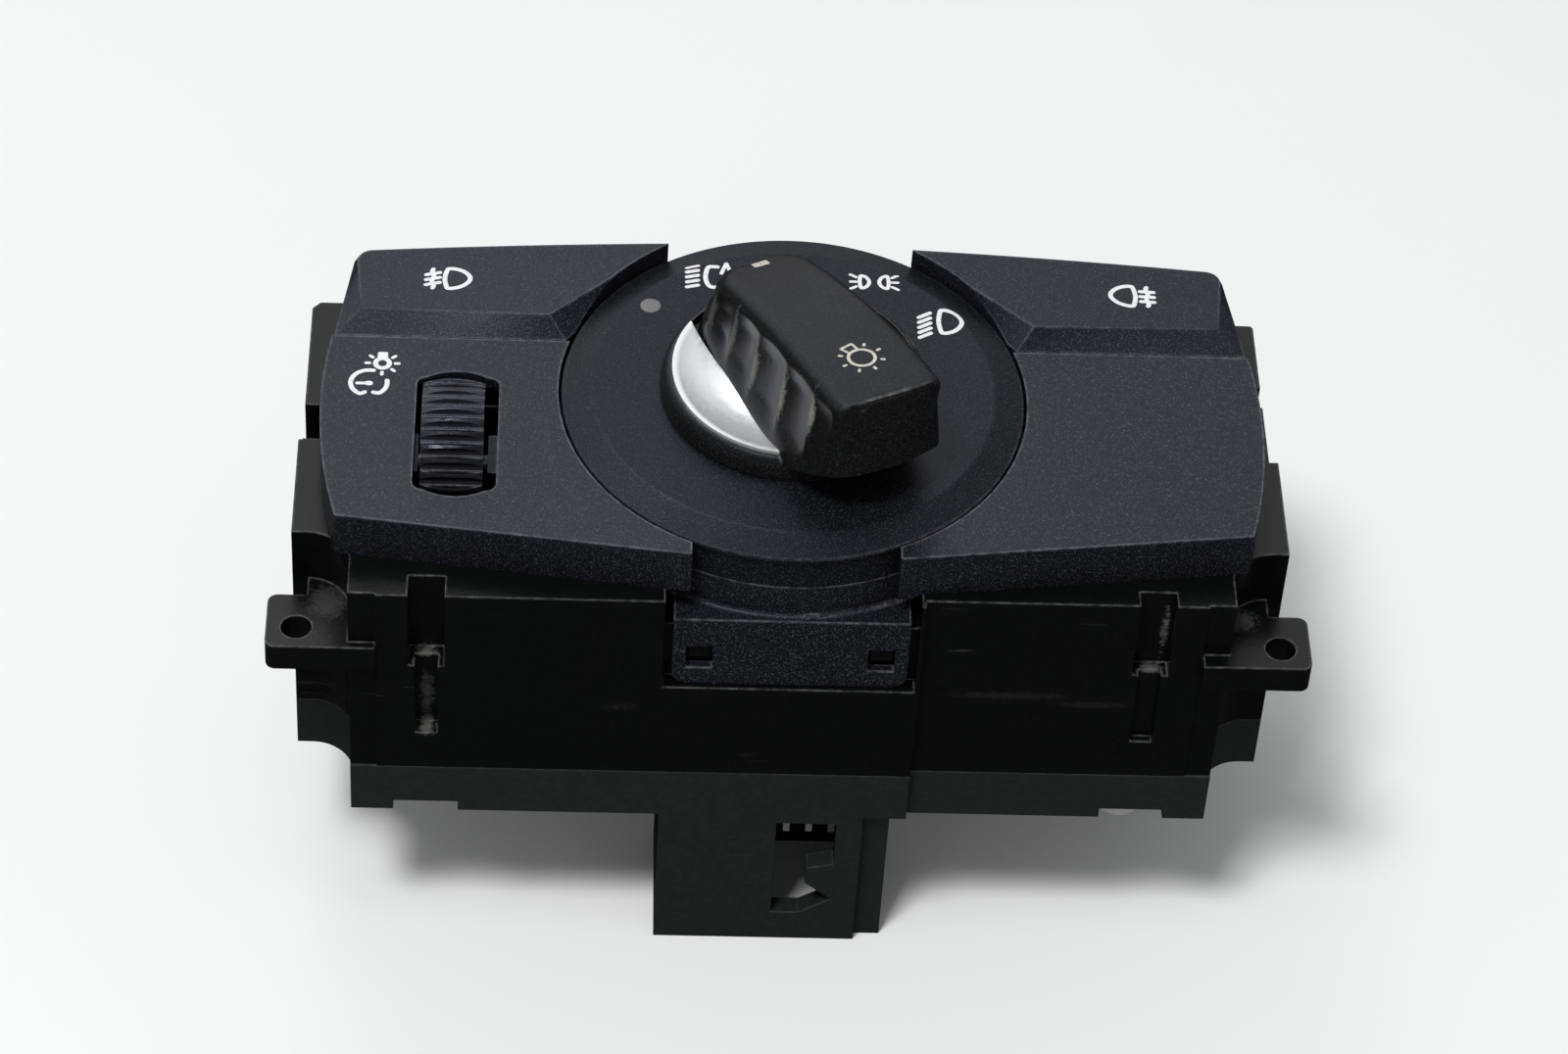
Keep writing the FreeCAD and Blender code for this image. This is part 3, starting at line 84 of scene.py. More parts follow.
# Where the unit is measured from: the middle of the dial on the face plane. The rotary knob turns about the
# line through this point. Places on the unit are in millimetres from it: right, up the face and out of it.
mm = 0.001
joints = {joint["name"]: joint for joint in frame["joints"]}
dial_centre = Vector(joints["knob_turn"]["pos_m"])


def at(right, up, out):
    """Point of the object from millimetres along the face, up the face and out of it."""
    return dial_centre + Vector((right, up, out)) * mm


# Camera: it stands in front of the unit and looks down at 45 degrees, so that face and front wall show alike.
# The unit lies a little turned in the frame, and the dial's centre is above the middle of the picture.
view_turn = radians(-3.70)
view_height = radians(45.06)
view_roll = radians(3.98)
view_distance = 733.9 * mm
dial_off_centre = Vector((1.37, 19.96)) * mm
lens_mm = 112.3

towards_camera = Vector((
    sin(view_turn) * cos(view_height),
    -cos(view_turn) * cos(view_height),
    sin(view_height),
))
level_right = Vector((cos(view_turn), sin(view_turn), 0))
level_up = towards_camera.cross(level_right)
camera_right = level_right * cos(view_roll) + level_up * sin(view_roll)
camera_up = level_up * cos(view_roll) - level_right * sin(view_roll)
camera_place = (dial_centre + towards_camera * view_distance
                - camera_right * dial_off_centre.x - camera_up * dial_off_centre.y)
camera = bpy.data.objects.new("camera", bpy.data.cameras.new("camera"))
scene.collection.objects.link(camera)
camera_ways = Matrix((camera_right, camera_up, towards_camera)).transposed().to_4x4()
camera.matrix_world = Matrix.Translation(camera_place) @ camera_ways
camera.data.lens = lens_mm
camera.data.clip_start = 0.05
camera.data.clip_end = 20
scene.camera = camera
scene.view_settings.view_transform = "Standard"


# Soft-touch face: panel, dial and buttons are moulded plastic with a thin blue-black lacquer. The lacquer
# has a fine pearl that sparkles, a faint orange-peel grain, and edges rubbed pale, with painted highlights
# laid on the edges that face up.
def new_group(name, inputs, outputs):
    """Empty shader group with named sockets. Gives the group, its input node and its output node."""
    group = bpy.data.node_groups.new(name, "ShaderNodeTree")
    for label, kind, value in inputs:
        socket = group.interface.new_socket(label, in_out="INPUT", socket_type=kind)
        if value is not None:
            socket.default_value = value
    for label, kind in outputs:
        group.interface.new_socket(label, in_out="OUTPUT", socket_type=kind)
    return group, group.nodes.new("NodeGroupInput"), group.nodes.new("NodeGroupOutput")


def feed(tree, socket, value):
    """Sets a socket to a value, or links it to the socket that feeds it."""
    if isinstance(value, bpy.types.NodeSocket):
        tree.links.new(value, socket)
    else:
        socket.default_value = value


def add_node(tree, kind, settings=None, **inputs):
    """A node with its settings; each input is a value, or the socket that feeds it."""
    node = tree.nodes.new(kind)
    for key, value in (settings or {}).items():
        setattr(node, key, value)
    for key, value in inputs.items():
        feed(tree, node.inputs[key.replace("_", " ")], value)
    return node


def math_node(tree, operation, first, second, clamp=False):
    """Result of an operation on two numbers."""
    node = add_node(tree, "ShaderNodeMath", {"operation": operation, "use_clamp": clamp})
    feed(tree, node.inputs[0], first)
    feed(tree, node.inputs[1], second)
    return node.outputs[0]


def vector_node(tree, operation, first, second=(0, 0, 0)):
    """Node that works on two vectors; a length needs the first one only."""
    node = add_node(tree, "ShaderNodeVectorMath", {"operation": operation})
    feed(tree, node.inputs[0], first)
    feed(tree, node.inputs[1], second)
    return node


def mix_colour(tree, factor, first, second):
    """Colour between two colours."""
    node = add_node(tree, "ShaderNodeMix", {"data_type": "RGBA"})
    feed(tree, node.inputs[0], factor)
    for index, colour in ((6, first), (7, second)):
        feed(tree, node.inputs[index], colour if isinstance(colour, bpy.types.NodeSocket) else (*colour, 1))
    return node.outputs[2]


def remap(tree, value, from_low, from_high, to_low=0.0, to_high=1.0):
    """Value carried from one range to another, and kept inside it."""
    node = add_node(tree, "ShaderNodeMapRange", Value=value, From_Min=from_low, From_Max=from_high,
                    To_Min=to_low, To_Max=to_high)
    return node.outputs[0]


def noise(tree, position, scale, detail, **more):
    """Noise over the surface, between 0 and 1."""
    node = add_node(tree, "ShaderNodeTexNoise", Vector=position, Scale=scale, Detail=detail, **more)
    return node.outputs[0]


def make_grain_group():
    """Moulded grain: a fine mottle, a faint pearl in it, and slow smears a finger wide."""
    group, given, put = new_group(
        "moulded_grain",
        [("Position", "NodeSocketVector", None), ("Grain Scale", "NodeSocketFloat", 2600.0)],
        [("Height", "NodeSocketFloat"), ("Fleck", "NodeSocketFloat"), ("Smear", "NodeSocketFloat")],
    )
    position, scale = given.outputs["Position"], given.outputs["Grain Scale"]
    grain = noise(group, position, scale, 2.0, Roughness=0.6)
    fleck = noise(group, position, math_node(group, "MULTIPLY", scale, 1.7), 1.0)
    smear = noise(group, position, 38.0, 4.0, Roughness=0.65, Distortion=0.6)
    feed(group, put.inputs["Height"], grain)
    feed(group, put.inputs["Fleck"], remap(group, fleck, 0.56, 0.72))
    feed(group, put.inputs["Smear"], remap(group, smear, 0.35, 0.68))
    return group


def make_wear_and_highlight_group():
    """Pale edge lines: rubbed wear, and painted highlight where the surface bends within a short reach and
    looks up towards the lamps, broken up by noise.
    """
    group, given, put = new_group(
        "edge_wear_and_highlight",
        [("Position", "NodeSocketVector", None), ("Reach", "NodeSocketFloat", 0.0006),
         ("Break Up", "NodeSocketFloat", 700.0), ("Sharpness", "NodeSocketFloat", 12.0)],
        [("Mask", "NodeSocketFloat")],
    )
    bent = add_node(group, "ShaderNodeBevel", {"samples": 4}, Radius=given.outputs["Reach"]).outputs[0]
    plain = group.nodes.new("ShaderNodeNewGeometry").outputs["Normal"]
    likeness = vector_node(group, "DOT_PRODUCT", bent, plain).outputs["Value"]
    bend = math_node(group, "SUBTRACT", 0.998, likeness)
    edge = math_node(group, "MULTIPLY", bend, given.outputs["Sharpness"], clamp=True)
    # Painted highlight: the lines are stronger where the bent surface looks up, towards the lamps overhead.
    upwards = add_node(group, "ShaderNodeSeparateXYZ", Vector=bent).outputs["Z"]
    edge = math_node(group, "MULTIPLY", edge, remap(group, upwards, 0.25, 0.55))
    patch = noise(group, given.outputs["Position"], given.outputs["Break Up"], 3.0, Roughness=0.7)
    patchy = remap(group, patch, 0.38, 0.62, 0.2, 1.0)
    feed(group, put.inputs["Mask"], math_node(group, "MULTIPLY", edge, patchy))
    return group


def make_dust_group():
    """Dust and lint around one place: thick in the middle, broken into crumbs, gone at its reach."""
    group, given, put = new_group(
        "dust_heap",
        [("Position", "NodeSocketVector", None), ("Place", "NodeSocketVector", None),
         ("Reach", "NodeSocketVector", None), ("Amount", "NodeSocketFloat", 1.0)],
        [("Mask", "NodeSocketFloat")],
    )
    away = vector_node(group, "SUBTRACT", given.outputs["Position"], given.outputs["Place"]).outputs[0]
    share = vector_node(group, "DIVIDE", away, given.outputs["Reach"]).outputs[0]
    far = vector_node(group, "LENGTH", share).outputs["Value"]
    near = remap(group, far, 1.0, 0.15)
    crumb = noise(group, given.outputs["Position"], 1300.0, 6.0, Roughness=0.75)
    edge = math_node(group, "ADD", math_node(group, "MULTIPLY", near, 0.45), crumb)
    cover = math_node(group, "MULTIPLY", remap(group, edge, 0.62, 0.86), given.outputs["Amount"], clamp=True)
    ending = remap(group, near, 0.0, 0.12)
    feed(group, put.inputs["Mask"], math_node(group, "MULTIPLY", cover, ending))
    return group


def make_scratch_group():
    """Fine hairline scratches that run along one direction, each short and faint."""
    group, given, put = new_group(
        "scratches",
        [("Position", "NodeSocketVector", None), ("Stretch", "NodeSocketVector", (60.0, 60.0, 1400.0))],
        [("Mask", "NodeSocketFloat")],
    )
    drawn = vector_node(group, "MULTIPLY", given.outputs["Position"], given.outputs["Stretch"]).outputs[0]
    line = remap(group, noise(group, drawn, 1.0, 2.0, Distortion=0.4), 0.68, 0.76)
    patch = remap(group, noise(group, given.outputs["Position"], 70.0, 2.0), 0.52, 0.66)
    feed(group, put.inputs["Mask"], math_node(group, "MULTIPLY", line, patch))
    return group


grain_group = make_grain_group()
wear_and_highlight_group = make_wear_and_highlight_group()
dust_group = make_dust_group()
scratch_group = make_scratch_group()


def place_group(tree, group, **inputs):
    """A group's node in a material, with its own values."""
    return add_node(tree, "ShaderNodeGroup", {"node_tree": group}, **inputs)


def new_material(name, roughness=None, metallic=0.0, specular=0.5, sheen_colour=(1, 1, 1)):
    """Principled material with nothing linked. Gives the material, its tree, shader and position socket."""
    material = bpy.data.materials.new(name)
    material.use_nodes = True
    tree = material.node_tree
    shader = tree.nodes["Principled BSDF"]
    shader.inputs["Metallic"].default_value = metallic
    shader.inputs["Specular IOR Level"].default_value = specular
    shader.inputs["Specular Tint"].default_value = (*sheen_colour, 1)
    if roughness is not None:
        shader.inputs["Roughness"].default_value = roughness
    position = tree.nodes.new("ShaderNodeTexCoord").outputs["Object"]
    return material, tree, shader, position


def bump(tree, shader, height, distance):
    """Lets a height tilt the surface, over a distance in metres."""
    node = add_node(tree, "ShaderNodeBump", Height=height, Distance=distance, Strength=1.0)
    feed(tree, shader.inputs["Normal"], node.outputs[0])


gloss_spread = 0.04
grain_shade = 0.6
dust_dullness = 0.4


def moulded_plastic(name, colour, fleck_colour, worn_and_highlight_colour, roughness, specular=0.5, sheen_colour=(1, 1, 1),
                    fleck=0.35, wear_and_highlight=0.5, sharpness=12.0, grain_scale=2600.0, grain_depth=0.00004,
                    wear_and_highlight_reach=0.0005, scratch=0.0, heaps=(), heap_colour=(0.27, 0.26, 0.23), place=None):
    """Moulded or lacquered plastic with grain, pearl, smears, rubbed edges with painted highlights on them,
    hairlines and heaps of dust.
    """
    material, tree, shader, position = new_material(name, specular=specular, sheen_colour=sheen_colour)
    grain = place_group(tree, grain_group, Position=position, Grain_Scale=grain_scale)
    worn_and_lit = place_group(tree, wear_and_highlight_group, Position=position, Reach=wear_and_highlight_reach, Sharpness=sharpness)
    lines = place_group(tree, scratch_group, Position=position)
    base = mix_colour(tree, math_node(tree, "MULTIPLY", grain.outputs["Fleck"], fleck), colour, fleck_colour)
    mottle = remap(tree, grain.outputs["Height"], 0.35, 0.65, 0.0, 0.5)
    base = mix_colour(tree, mottle, base, tuple(c * grain_shade for c in colour))
    # Pale edge lines, partly rubbed wear and partly painted highlight on edges that face up; hairlines take
    # the same pale colour.
    base = mix_colour(tree, math_node(tree, "MULTIPLY", worn_and_lit.outputs["Mask"], wear_and_highlight), base, worn_and_highlight_colour)
    base = mix_colour(tree, math_node(tree, "MULTIPLY", lines.outputs["Mask"], scratch), base, worn_and_highlight_colour)
    rough = remap(tree, grain.outputs["Smear"], 0.0, 1.0, roughness - gloss_spread, roughness + gloss_spread)
    where = place(tree, position) if place else position
    for middle, reach, amount in heaps:
        heaped = place_group(tree, dust_group, Position=where, Place=middle, Reach=reach, Amount=amount)
        base = mix_colour(tree, heaped.outputs["Mask"], base, heap_colour)
        dulled = math_node(tree, "MULTIPLY", heaped.outputs["Mask"], dust_dullness)
        rough = math_node(tree, "ADD", rough, dulled)
    feed(tree, shader.inputs["Base Color"], base)
    feed(tree, shader.inputs["Roughness"], rough)
    bump(tree, shader, grain.outputs["Height"], grain_depth)
    return material


def heap(right, up, out, reach, amount):
    """A heap of dust at a place in millimetres, with its reach along the three directions."""
    return at(right, up, out), Vector(reach) * mm, amount


# Painted light: the reflections of the face, knob and wheel are tinted blue, standing in for bluish light
# from behind the unit.
painted_blue_light_tint = (0.74, 0.82, 1.0)
face_lacquer = moulded_plastic(
    "face_lacquer", (0.0050, 0.0070, 0.0100), (0.065, 0.070, 0.085), (0.26, 0.28, 0.31),
    roughness=0.34, specular=0.47, sheen_colour=painted_blue_light_tint, fleck=1.0, wear_and_highlight=0.55, sharpness=14.0,
    wear_and_highlight_reach=0.0006)
dial_lacquer = moulded_plastic(
    "dial_lacquer", (0.0040, 0.0060, 0.0085), (0.050, 0.054, 0.065), (0.20, 0.21, 0.23),
    roughness=0.36, specular=0.30, sheen_colour=painted_blue_light_tint, fleck=0.8, wear_and_highlight=0.6, sharpness=14.0,
    heaps=[
        heap(-15.6, -34.5, -12.3, (3.2, 2.2, 1.4), 0.9),
        heap(14.8, -34.5, -12.3, (3.0, 2.2, 1.4), 0.9),
        heap(15.6, -32.5, -9.0, (1.2, 2.6, 4.5), 0.75),
    ])


def show(name, mesh, material, body, smooth_angle=30.0):
    """Puts a finished mesh in the scene as a piece that moves with a body."""
    piece = bpy.data.objects.new(name, mesh)
    scene.collection.objects.link(piece)
    mesh.materials.clear()
    mesh.materials.append(material)
    mesh.shade_smooth()
    mesh.set_sharp_from_angle(angle=radians(smooth_angle))
    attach(piece, body)
    return piece


def softened(node, name, material, edge_radius, sharpest=28.0):
    """Copy of a CAD node with its edges rounded as a mould leaves them; it stands for the node."""
    shape = bmesh.new()
    shape.from_mesh(frame["nodes"][node].data)
    bmesh.ops.remove_doubles(shape, verts=shape.verts, dist=0.002 * mm)
    bmesh.ops.dissolve_limit(shape, angle_limit=radians(0.6), verts=shape.verts, edges=shape.edges)
    mesh = bpy.data.meshes.new(name)
    shape.to_mesh(mesh)
    shape.free()
    piece = show(name, mesh, material, frame["nodes"][node]["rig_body"], smooth_angle=sharpest)
    edges = piece.modifiers.new("rounded_edges", "BEVEL")
    edges.width = edge_radius * mm
    edges.segments = 3
    edges.limit_method = "ANGLE"
    edges.angle_limit = radians(sharpest)
    piece.modifiers.new("flat_faces", "WEIGHTED_NORMAL")
    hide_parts(node)
    return piece


softened("front_panel", "face_panel", face_lacquer, edge_radius=0.6)
softened("dial_plate", "dial_face", dial_lacquer, edge_radius=1.2, sharpest=12)
softened("front_fog_button", "front_fog_cap", face_lacquer, edge_radius=0.9)
softened("rear_fog_button", "rear_fog_cap", face_lacquer, edge_radius=0.9)


# Printed symbols: white ink on the lacquer, a few hundredths of a millimetre thick. Each is drawn with
# strokes that have round ends, and lies on the piece that carries it. The mark for off is a grey dot.
def printed_ink(name, first, second, scale, detail, low, high, roughness=0.5):
    """Opaque ink, mottled between two colours."""
    material, tree, shader, position = new_material(name, roughness=roughness)
    mottle = remap(tree, noise(tree, position, scale, detail), low, high)
    feed(tree, shader.inputs["Base Color"], mix_colour(tree, mottle, first, second))
    return material


white_ink = printed_ink("symbol_ink", (0.86, 0.87, 0.88), (0.72, 0.73, 0.75), 1800.0, 2.0, 0.35, 0.65)
grey_ink = printed_ink("grey_ink", (0.13, 0.13, 0.135), (0.19, 0.19, 0.19), 2500.0, 2.0, 0.3, 0.7,
                       roughness=0.55)
ink_stroke = 0.72
ink_flatness = 0.06


def add_stroke(shape, points, closed=False, width=ink_stroke):
    """One stroke of a symbol: a round line through points in millimetres, with round ends."""
    path = bpy.data.curves.new("stroke", "CURVE")
    path.dimensions = "3D"
    path.bevel_depth = width / 2
    path.bevel_resolution = 3
    path.resolution_u = 6
    line = path.splines.new("NURBS")
    line.points.add(len(points) - 1)
    for knot, (x, y) in zip(line.points, points):
        knot.co = (x, y, 0, 1)
    line.use_cyclic_u = closed
    line.order_u = 3 if len(points) > 2 else 2
    line.use_endpoint_u = not closed
    holder = bpy.data.objects.new("stroke", path)
    drawn = bpy.data.meshes.new_from_object(holder)
    shape.from_mesh(drawn)
    bpy.data.meshes.remove(drawn)
    bpy.data.objects.remove(holder)
    bpy.data.curves.remove(path)
    for x, y in () if closed else (points[0], points[-1]):
        bmesh.ops.create_uvsphere(shape, u_segments=12, v_segments=6, radius=width / 2,
                                  matrix=Matrix.Translation((x, y, 0)))


def node_surface(node):
    """Surface of a CAD node, to lay things on."""
    carrier = bmesh.new()
    carrier.from_mesh(frame["nodes"][node].data)
    surface = BVHTree.FromBMesh(carrier)
    carrier.free()
    return surface


def print_symbol(name, shape, surface, right, up, body, slot="panel", material=white_ink, turn=0.0):
    """Flattens a symbol's strokes and lays them on a surface, at a place given in millimetres."""
    place = at(right, up, 0)
    bmesh.ops.scale(shape, vec=(mm, mm, mm * ink_flatness), verts=shape.verts)
    seat = Matrix.Translation((place.x, place.y, 0)) @ Matrix.Rotation(radians(turn), 4, "Z")
    bmesh.ops.transform(shape, matrix=seat, verts=shape.verts)
    for vertex in shape.verts:
        below = surface.ray_cast(Vector((vertex.co.x, vertex.co.y, 1)), Vector((0, 0, -1)))[0]
        vertex.co.z += below.z
    bmesh.ops.recalc_face_normals(shape, faces=shape.faces)
    mesh = bpy.data.meshes.new(name)
    shape.to_mesh(mesh)
    shape.free()
    show(name, mesh, material, body, smooth_angle=60)


def add_lamp(shape, middle, wide, tall, side=1, width=ink_stroke):
    """D shape of a lamp: nearly flat on one side, drawn out to a round nose on the other (side 1: right)."""
    x, y = middle
    left = -side * wide / 2
    outline = [
        (0.0, 0.50), (0.04, 0.56), (0.30, 0.56), (0.75, 0.40),
        (1.06, 0.0), (0.75, -0.40), (0.30, -0.56), (0.04, -0.56),
        (0.0, -0.50), (-0.07, -0.25), (-0.10, 0.0), (-0.07, 0.25),
    ]
    points = [(x + left + side * wide * a, y + tall * b) for a, b in outline]
    add_stroke(shape, points, closed=True, width=width)


def add_beams(shape, middle, count, pitch, length, rise, width=ink_stroke):
    """Parallel beams one below the other; rise is how much higher their right ends are."""
    x, y = middle
    for index in range(count):
        level = y + pitch * ((count - 1) / 2 - index)
        ends = [(x - length / 2, level - rise / 2), (x + length / 2, level + rise / 2)]
        add_stroke(shape, ends, width=width)


def add_fog_wave(shape, middle, tall, swing):
    """Wavy upright line across a fog lamp's beams."""
    x, y = middle
    steps = [(0, 0.5), (-swing, 0.38), (swing, 0.13), (-swing, -0.13), (swing, -0.38), (0, -0.5)]
    add_stroke(shape, [(x + a, y + tall * b) for a, b in steps])


def on_circle(middle, radius, degrees):
    """Point on a circle round a point, at an angle from the right."""
    x, y = middle
    return x + radius * cos(radians(degrees)), y + radius * sin(radians(degrees))


dial_surface = node_surface("dial_plate")
thin_stroke = 0.66
beam_pitch = 1.12

low_beam = bmesh.new()
add_lamp(low_beam, (2.05, 0.45), 3.3, 4.6)
add_beams(low_beam, (-2.05, -0.45), 5, beam_pitch, 1.75, 1.05, width=thin_stroke)
print_symbol("low_beam_symbol", low_beam, dial_surface, 22.3, 15.1, "housing")

auto_beam = bmesh.new()
add_beams(auto_beam, (-1.1, 0.1), 5, beam_pitch, 1.7, 0.45, width=thin_stroke)
add_stroke(auto_beam, [
    (2.75, 2.35), (2.0, 2.4), (1.25, 2.35), (0.9, 0.6), (0.9, -0.7),
    (1.5, -2.4), (3.4, -2.2), (4.9, -1.2), (5.4, 0.2),
])
add_stroke(auto_beam, [(3.35, 0.9), (4.1, 3.2)], width=0.6)
add_stroke(auto_beam, [(4.1, 3.2), (4.85, 0.9)], width=0.6)
print_symbol("auto_beam_symbol", auto_beam, dial_surface, -14.0, 24.3, "housing")

parking = bmesh.new()
for side in (-1, 1):
    add_lamp(parking, (side * 1.42, 0), 1.35, 2.5, side=-side, width=0.6)
    for lift in (-1, 0, 1):
        add_stroke(parking, [(side * 2.75, lift * 1.05), (side * 3.65, lift * 1.6)], width=0.5)
print_symbol("parking_symbol", parking, dial_surface, 12.8, 24.1, "housing")

off_dot = bmesh.new()
bmesh.ops.create_uvsphere(off_dot, u_segments=48, v_segments=12, radius=1.55)
print_symbol("off_dot", off_dot, dial_surface, -21.5, 17.5, "housing", material=grey_ink)

for body, side, rise in (("front_fog", -1, 0.5), ("rear_fog", 1, -0.05)):
    fog = bmesh.new()
    add_lamp(fog, (-side * 2.0, 0), 3.6, 4.0, side=-side)
    add_beams(fog, (side * 1.95, 0), 3, beam_pitch, 2.1, rise, width=thin_stroke)
    add_fog_wave(fog, (side * 1.95, 0), 4.2, 0.28)
    print_symbol(f"{body}_symbol", fog, node_surface(f"{body}_button"), side * 52.75, 21.9, body)

dimmer = bmesh.new()
gauge_radius = 2.75
left_gauge = [on_circle((0, 0), gauge_radius, angle) for angle in range(78, 250, 14)]
right_gauge = [on_circle((0, 0), gauge_radius, angle) for angle in range(12, -70, -14)]
add_stroke(dimmer, left_gauge + [(-0.55, -2.05)])
add_stroke(dimmer, right_gauge + [(0.75, -2.05)])
add_stroke(dimmer, [(-1.75, -0.15), (0.0, -0.1)], width=0.6)
add_stroke(dimmer, [(-0.15, -0.1), (0.15, -0.1)], width=0.95)
bulb = (1.85, 4.3)
bulb_radius = 1.127
bulb_ring = [on_circle(bulb, bulb_radius, angle) for angle in range(0, 360, 45)]
add_stroke(dimmer, bulb_ring, closed=True, width=0.75)
for half, above, width in ((0.35, 1.5, 0.95), (0.45, 2.1, 0.7)):
    add_stroke(dimmer, [(bulb[0] - half, bulb[1] + above), (bulb[0] + half, bulb[1] + above)], width=width)
for angle in (-90, -42, 0, 40, 140, 180):
    add_stroke(dimmer, [on_circle(bulb, reach, angle) for reach in (1.95, 2.45)], width=0.55)
print_symbol("dimmer_symbol", dimmer, node_surface("front_panel"), -63.5, 0.2, "housing")


# Knob: one black soft-touch moulding, a round skirt with a tall grip bar across it. Both flanks have
# upright finger grooves, scuffed pale on their ridges. Two silver crescents fill the skirt beside the bar.
bar_angle = -65.0
ridges = (-11.3, -3.9, 3.9, 12.9, 21.3)
ridge_levels = ((6.6, 14.0), (7.5, 16.8), (8.0, 16.3), (9.7, 18.8), (14.3, 21.8))
ridge_wear = (0.3, 0.4, 0.8, 0.95, 1.0)
scuff_width = 1.3
past_both_flanks = 40.0
scuff_share = 0.8
scuffs = []
for along, (low, high), amount in zip(ridges, ridge_levels, ridge_wear):
    reach = (scuff_width, past_both_flanks, (high - low) * scuff_share)
    scuffs.append(heap(along, 0, (low + high) / 2, reach, amount))


def along_bar(tree, position):
    """Position turned about the knob's axis, so that its first direction runs along the grip bar."""
    turned = add_node(tree, "ShaderNodeVectorRotate", {"rotation_type": "Z_AXIS"}, Vector=position,
                      Center=dial_centre, Angle=radians(-bar_angle))
    return turned.outputs[0]


knob_black = moulded_plastic(
    "knob_soft_touch", (0.0045, 0.0060, 0.0062), (0.045, 0.047, 0.052), (0.16, 0.16, 0.15),
    roughness=0.33, specular=0.35, sheen_colour=painted_blue_light_tint, fleck=0.8, wear_and_highlight=0.5, sharpness=14.0,
    wear_and_highlight_reach=0.0006, heaps=scuffs, heap_colour=(0.22, 0.21, 0.18), place=along_bar)

skirt_radius = 20.1
cone_foot, cone_slope = 4.5, 0.654
arch_radius = 127.0
arch_start, arch_end = Vector((-20.0, 12.5)), Vector((33.0, 24.5))

# The bar's plan, each size at its foot and at its head: how far it reaches back and front from the axis,
# its half widths at both ends, and the rounding of its corners.
bar_low, bar_high = 3.2, 26.0
bar_plan = {
    "back": (-18.6, -11.6),
    "front": (28.4, 27.9),
    "left_back": (9.9, 6.2),
    "left_front": (9.8, 7.9),
    "right_back": (9.9, 6.0),
    "right_front": (12.2, 8.9),
    "back_round": (7.0, 4.2),
    "left_round": (5.0, 0.9),
    "right_round": (3.4, 0.9),
}

# Stretches of the bar's outline in turn: the corners that each runs between, its share of the way round,
# the heading that it faces at both ends, and how far it bows out. It starts in the middle of the back.
side_bow = 0.55
back_half, last_corner = (3, 0), (3, 3)
stretches = (
    (*back_half, 0.04, 180, 180, 0.0),
    (0, 0, 0.10, 180, 270, 0.0),
    (0, 1, 0.28, 270, 270, side_bow),
    (1, 1, 0.08, 270, 360, 0.0),
    (1, 2, 0.10, 0, 0, side_bow),
    (2, 2, 0.08, 0, 90, 0.0),
    (2, 3, 0.28, 90, 90, side_bow),
    (*last_corner, 0.04, 90, 180, 0.0),
)


def arch_level(along):
    """Height of the bar's arched top at a place along the bar."""
    chord = arch_end - arch_start
    across = Vector((-chord.y, chord.x)).normalized()
    centre = (arch_start + arch_end) / 2 - across * sqrt(arch_radius ** 2 - (chord.length / 2) ** 2)
    return centre.y + sqrt(arch_radius ** 2 - (along - centre.x) ** 2)


def underside_level(reach):
    """Height of the cone that the bar's front stands on, at a distance from the knob's axis."""
    return max(bar_low, cone_foot + (reach - skirt_radius) * cone_slope)


def bar_edge(turn, level):
    """Place on the bar's outline at a level; turn goes once round from 0 to 1."""
    climbed = (level - bar_low) / (bar_high - bar_low)
    plan = {name: foot + (head - foot) * climbed for name, (foot, head) in bar_plan.items()}
    back_round, left_round, right_round = plan["back_round"], plan["left_round"], plan["right_round"]
    corners = (
        (plan["back"] + back_round, back_round - plan["left_back"], back_round),
        (plan["front"] - left_round, left_round - plan["left_front"], left_round),
        (plan["front"] - right_round, plan["right_front"] - right_round, right_round),
        (plan["back"] + back_round, plan["right_back"] - back_round, back_round),
    )
    rest = turn
    for first, second, share, start, end, bow in stretches:
        if rest <= share or (first, second) == last_corner:
            break
        rest -= share
    part = min(rest / share, 1.0)
    if (first, second) == back_half:
        part = 0.5 + part / 2
    x1, y1, r1 = corners[first]
    x2, y2, r2 = corners[second]
    heading = radians(start + (end - start) * part)
    reach = r1 + (r2 - r1) * part + bow * 4 * part * (1 - part)
    return Vector((
        x1 + (x2 - x1) * part + reach * cos(heading),
        y1 + (y2 - y1) * part + reach * sin(heading),
    ))


front_ridge = 30.5
groove_deepest = 0.85
groove_foot, groove_foot_fade = 6.0, 3.0
groove_top_gap, groove_top_fade = 1.2, 3.5


def groove_depth(along, level):
    """Depth of the finger grooves between two ridges, gone at the foot and under the top."""
    depth = 0.0
    for low, high in zip(ridges, ridges[1:] + (front_ridge,)):
        if low < along < high:
            depth = groove_deepest * (1 - (2 * (along - low) / (high - low) - 1) ** 2)
    fade_low = min(max((level - groove_foot) / groove_foot_fade, 0.0), 1.0)
    fade_high = min(max((arch_level(along) - groove_top_gap - level) / groove_top_fade, 0.0), 1.0)
    return depth * fade_low * fade_high


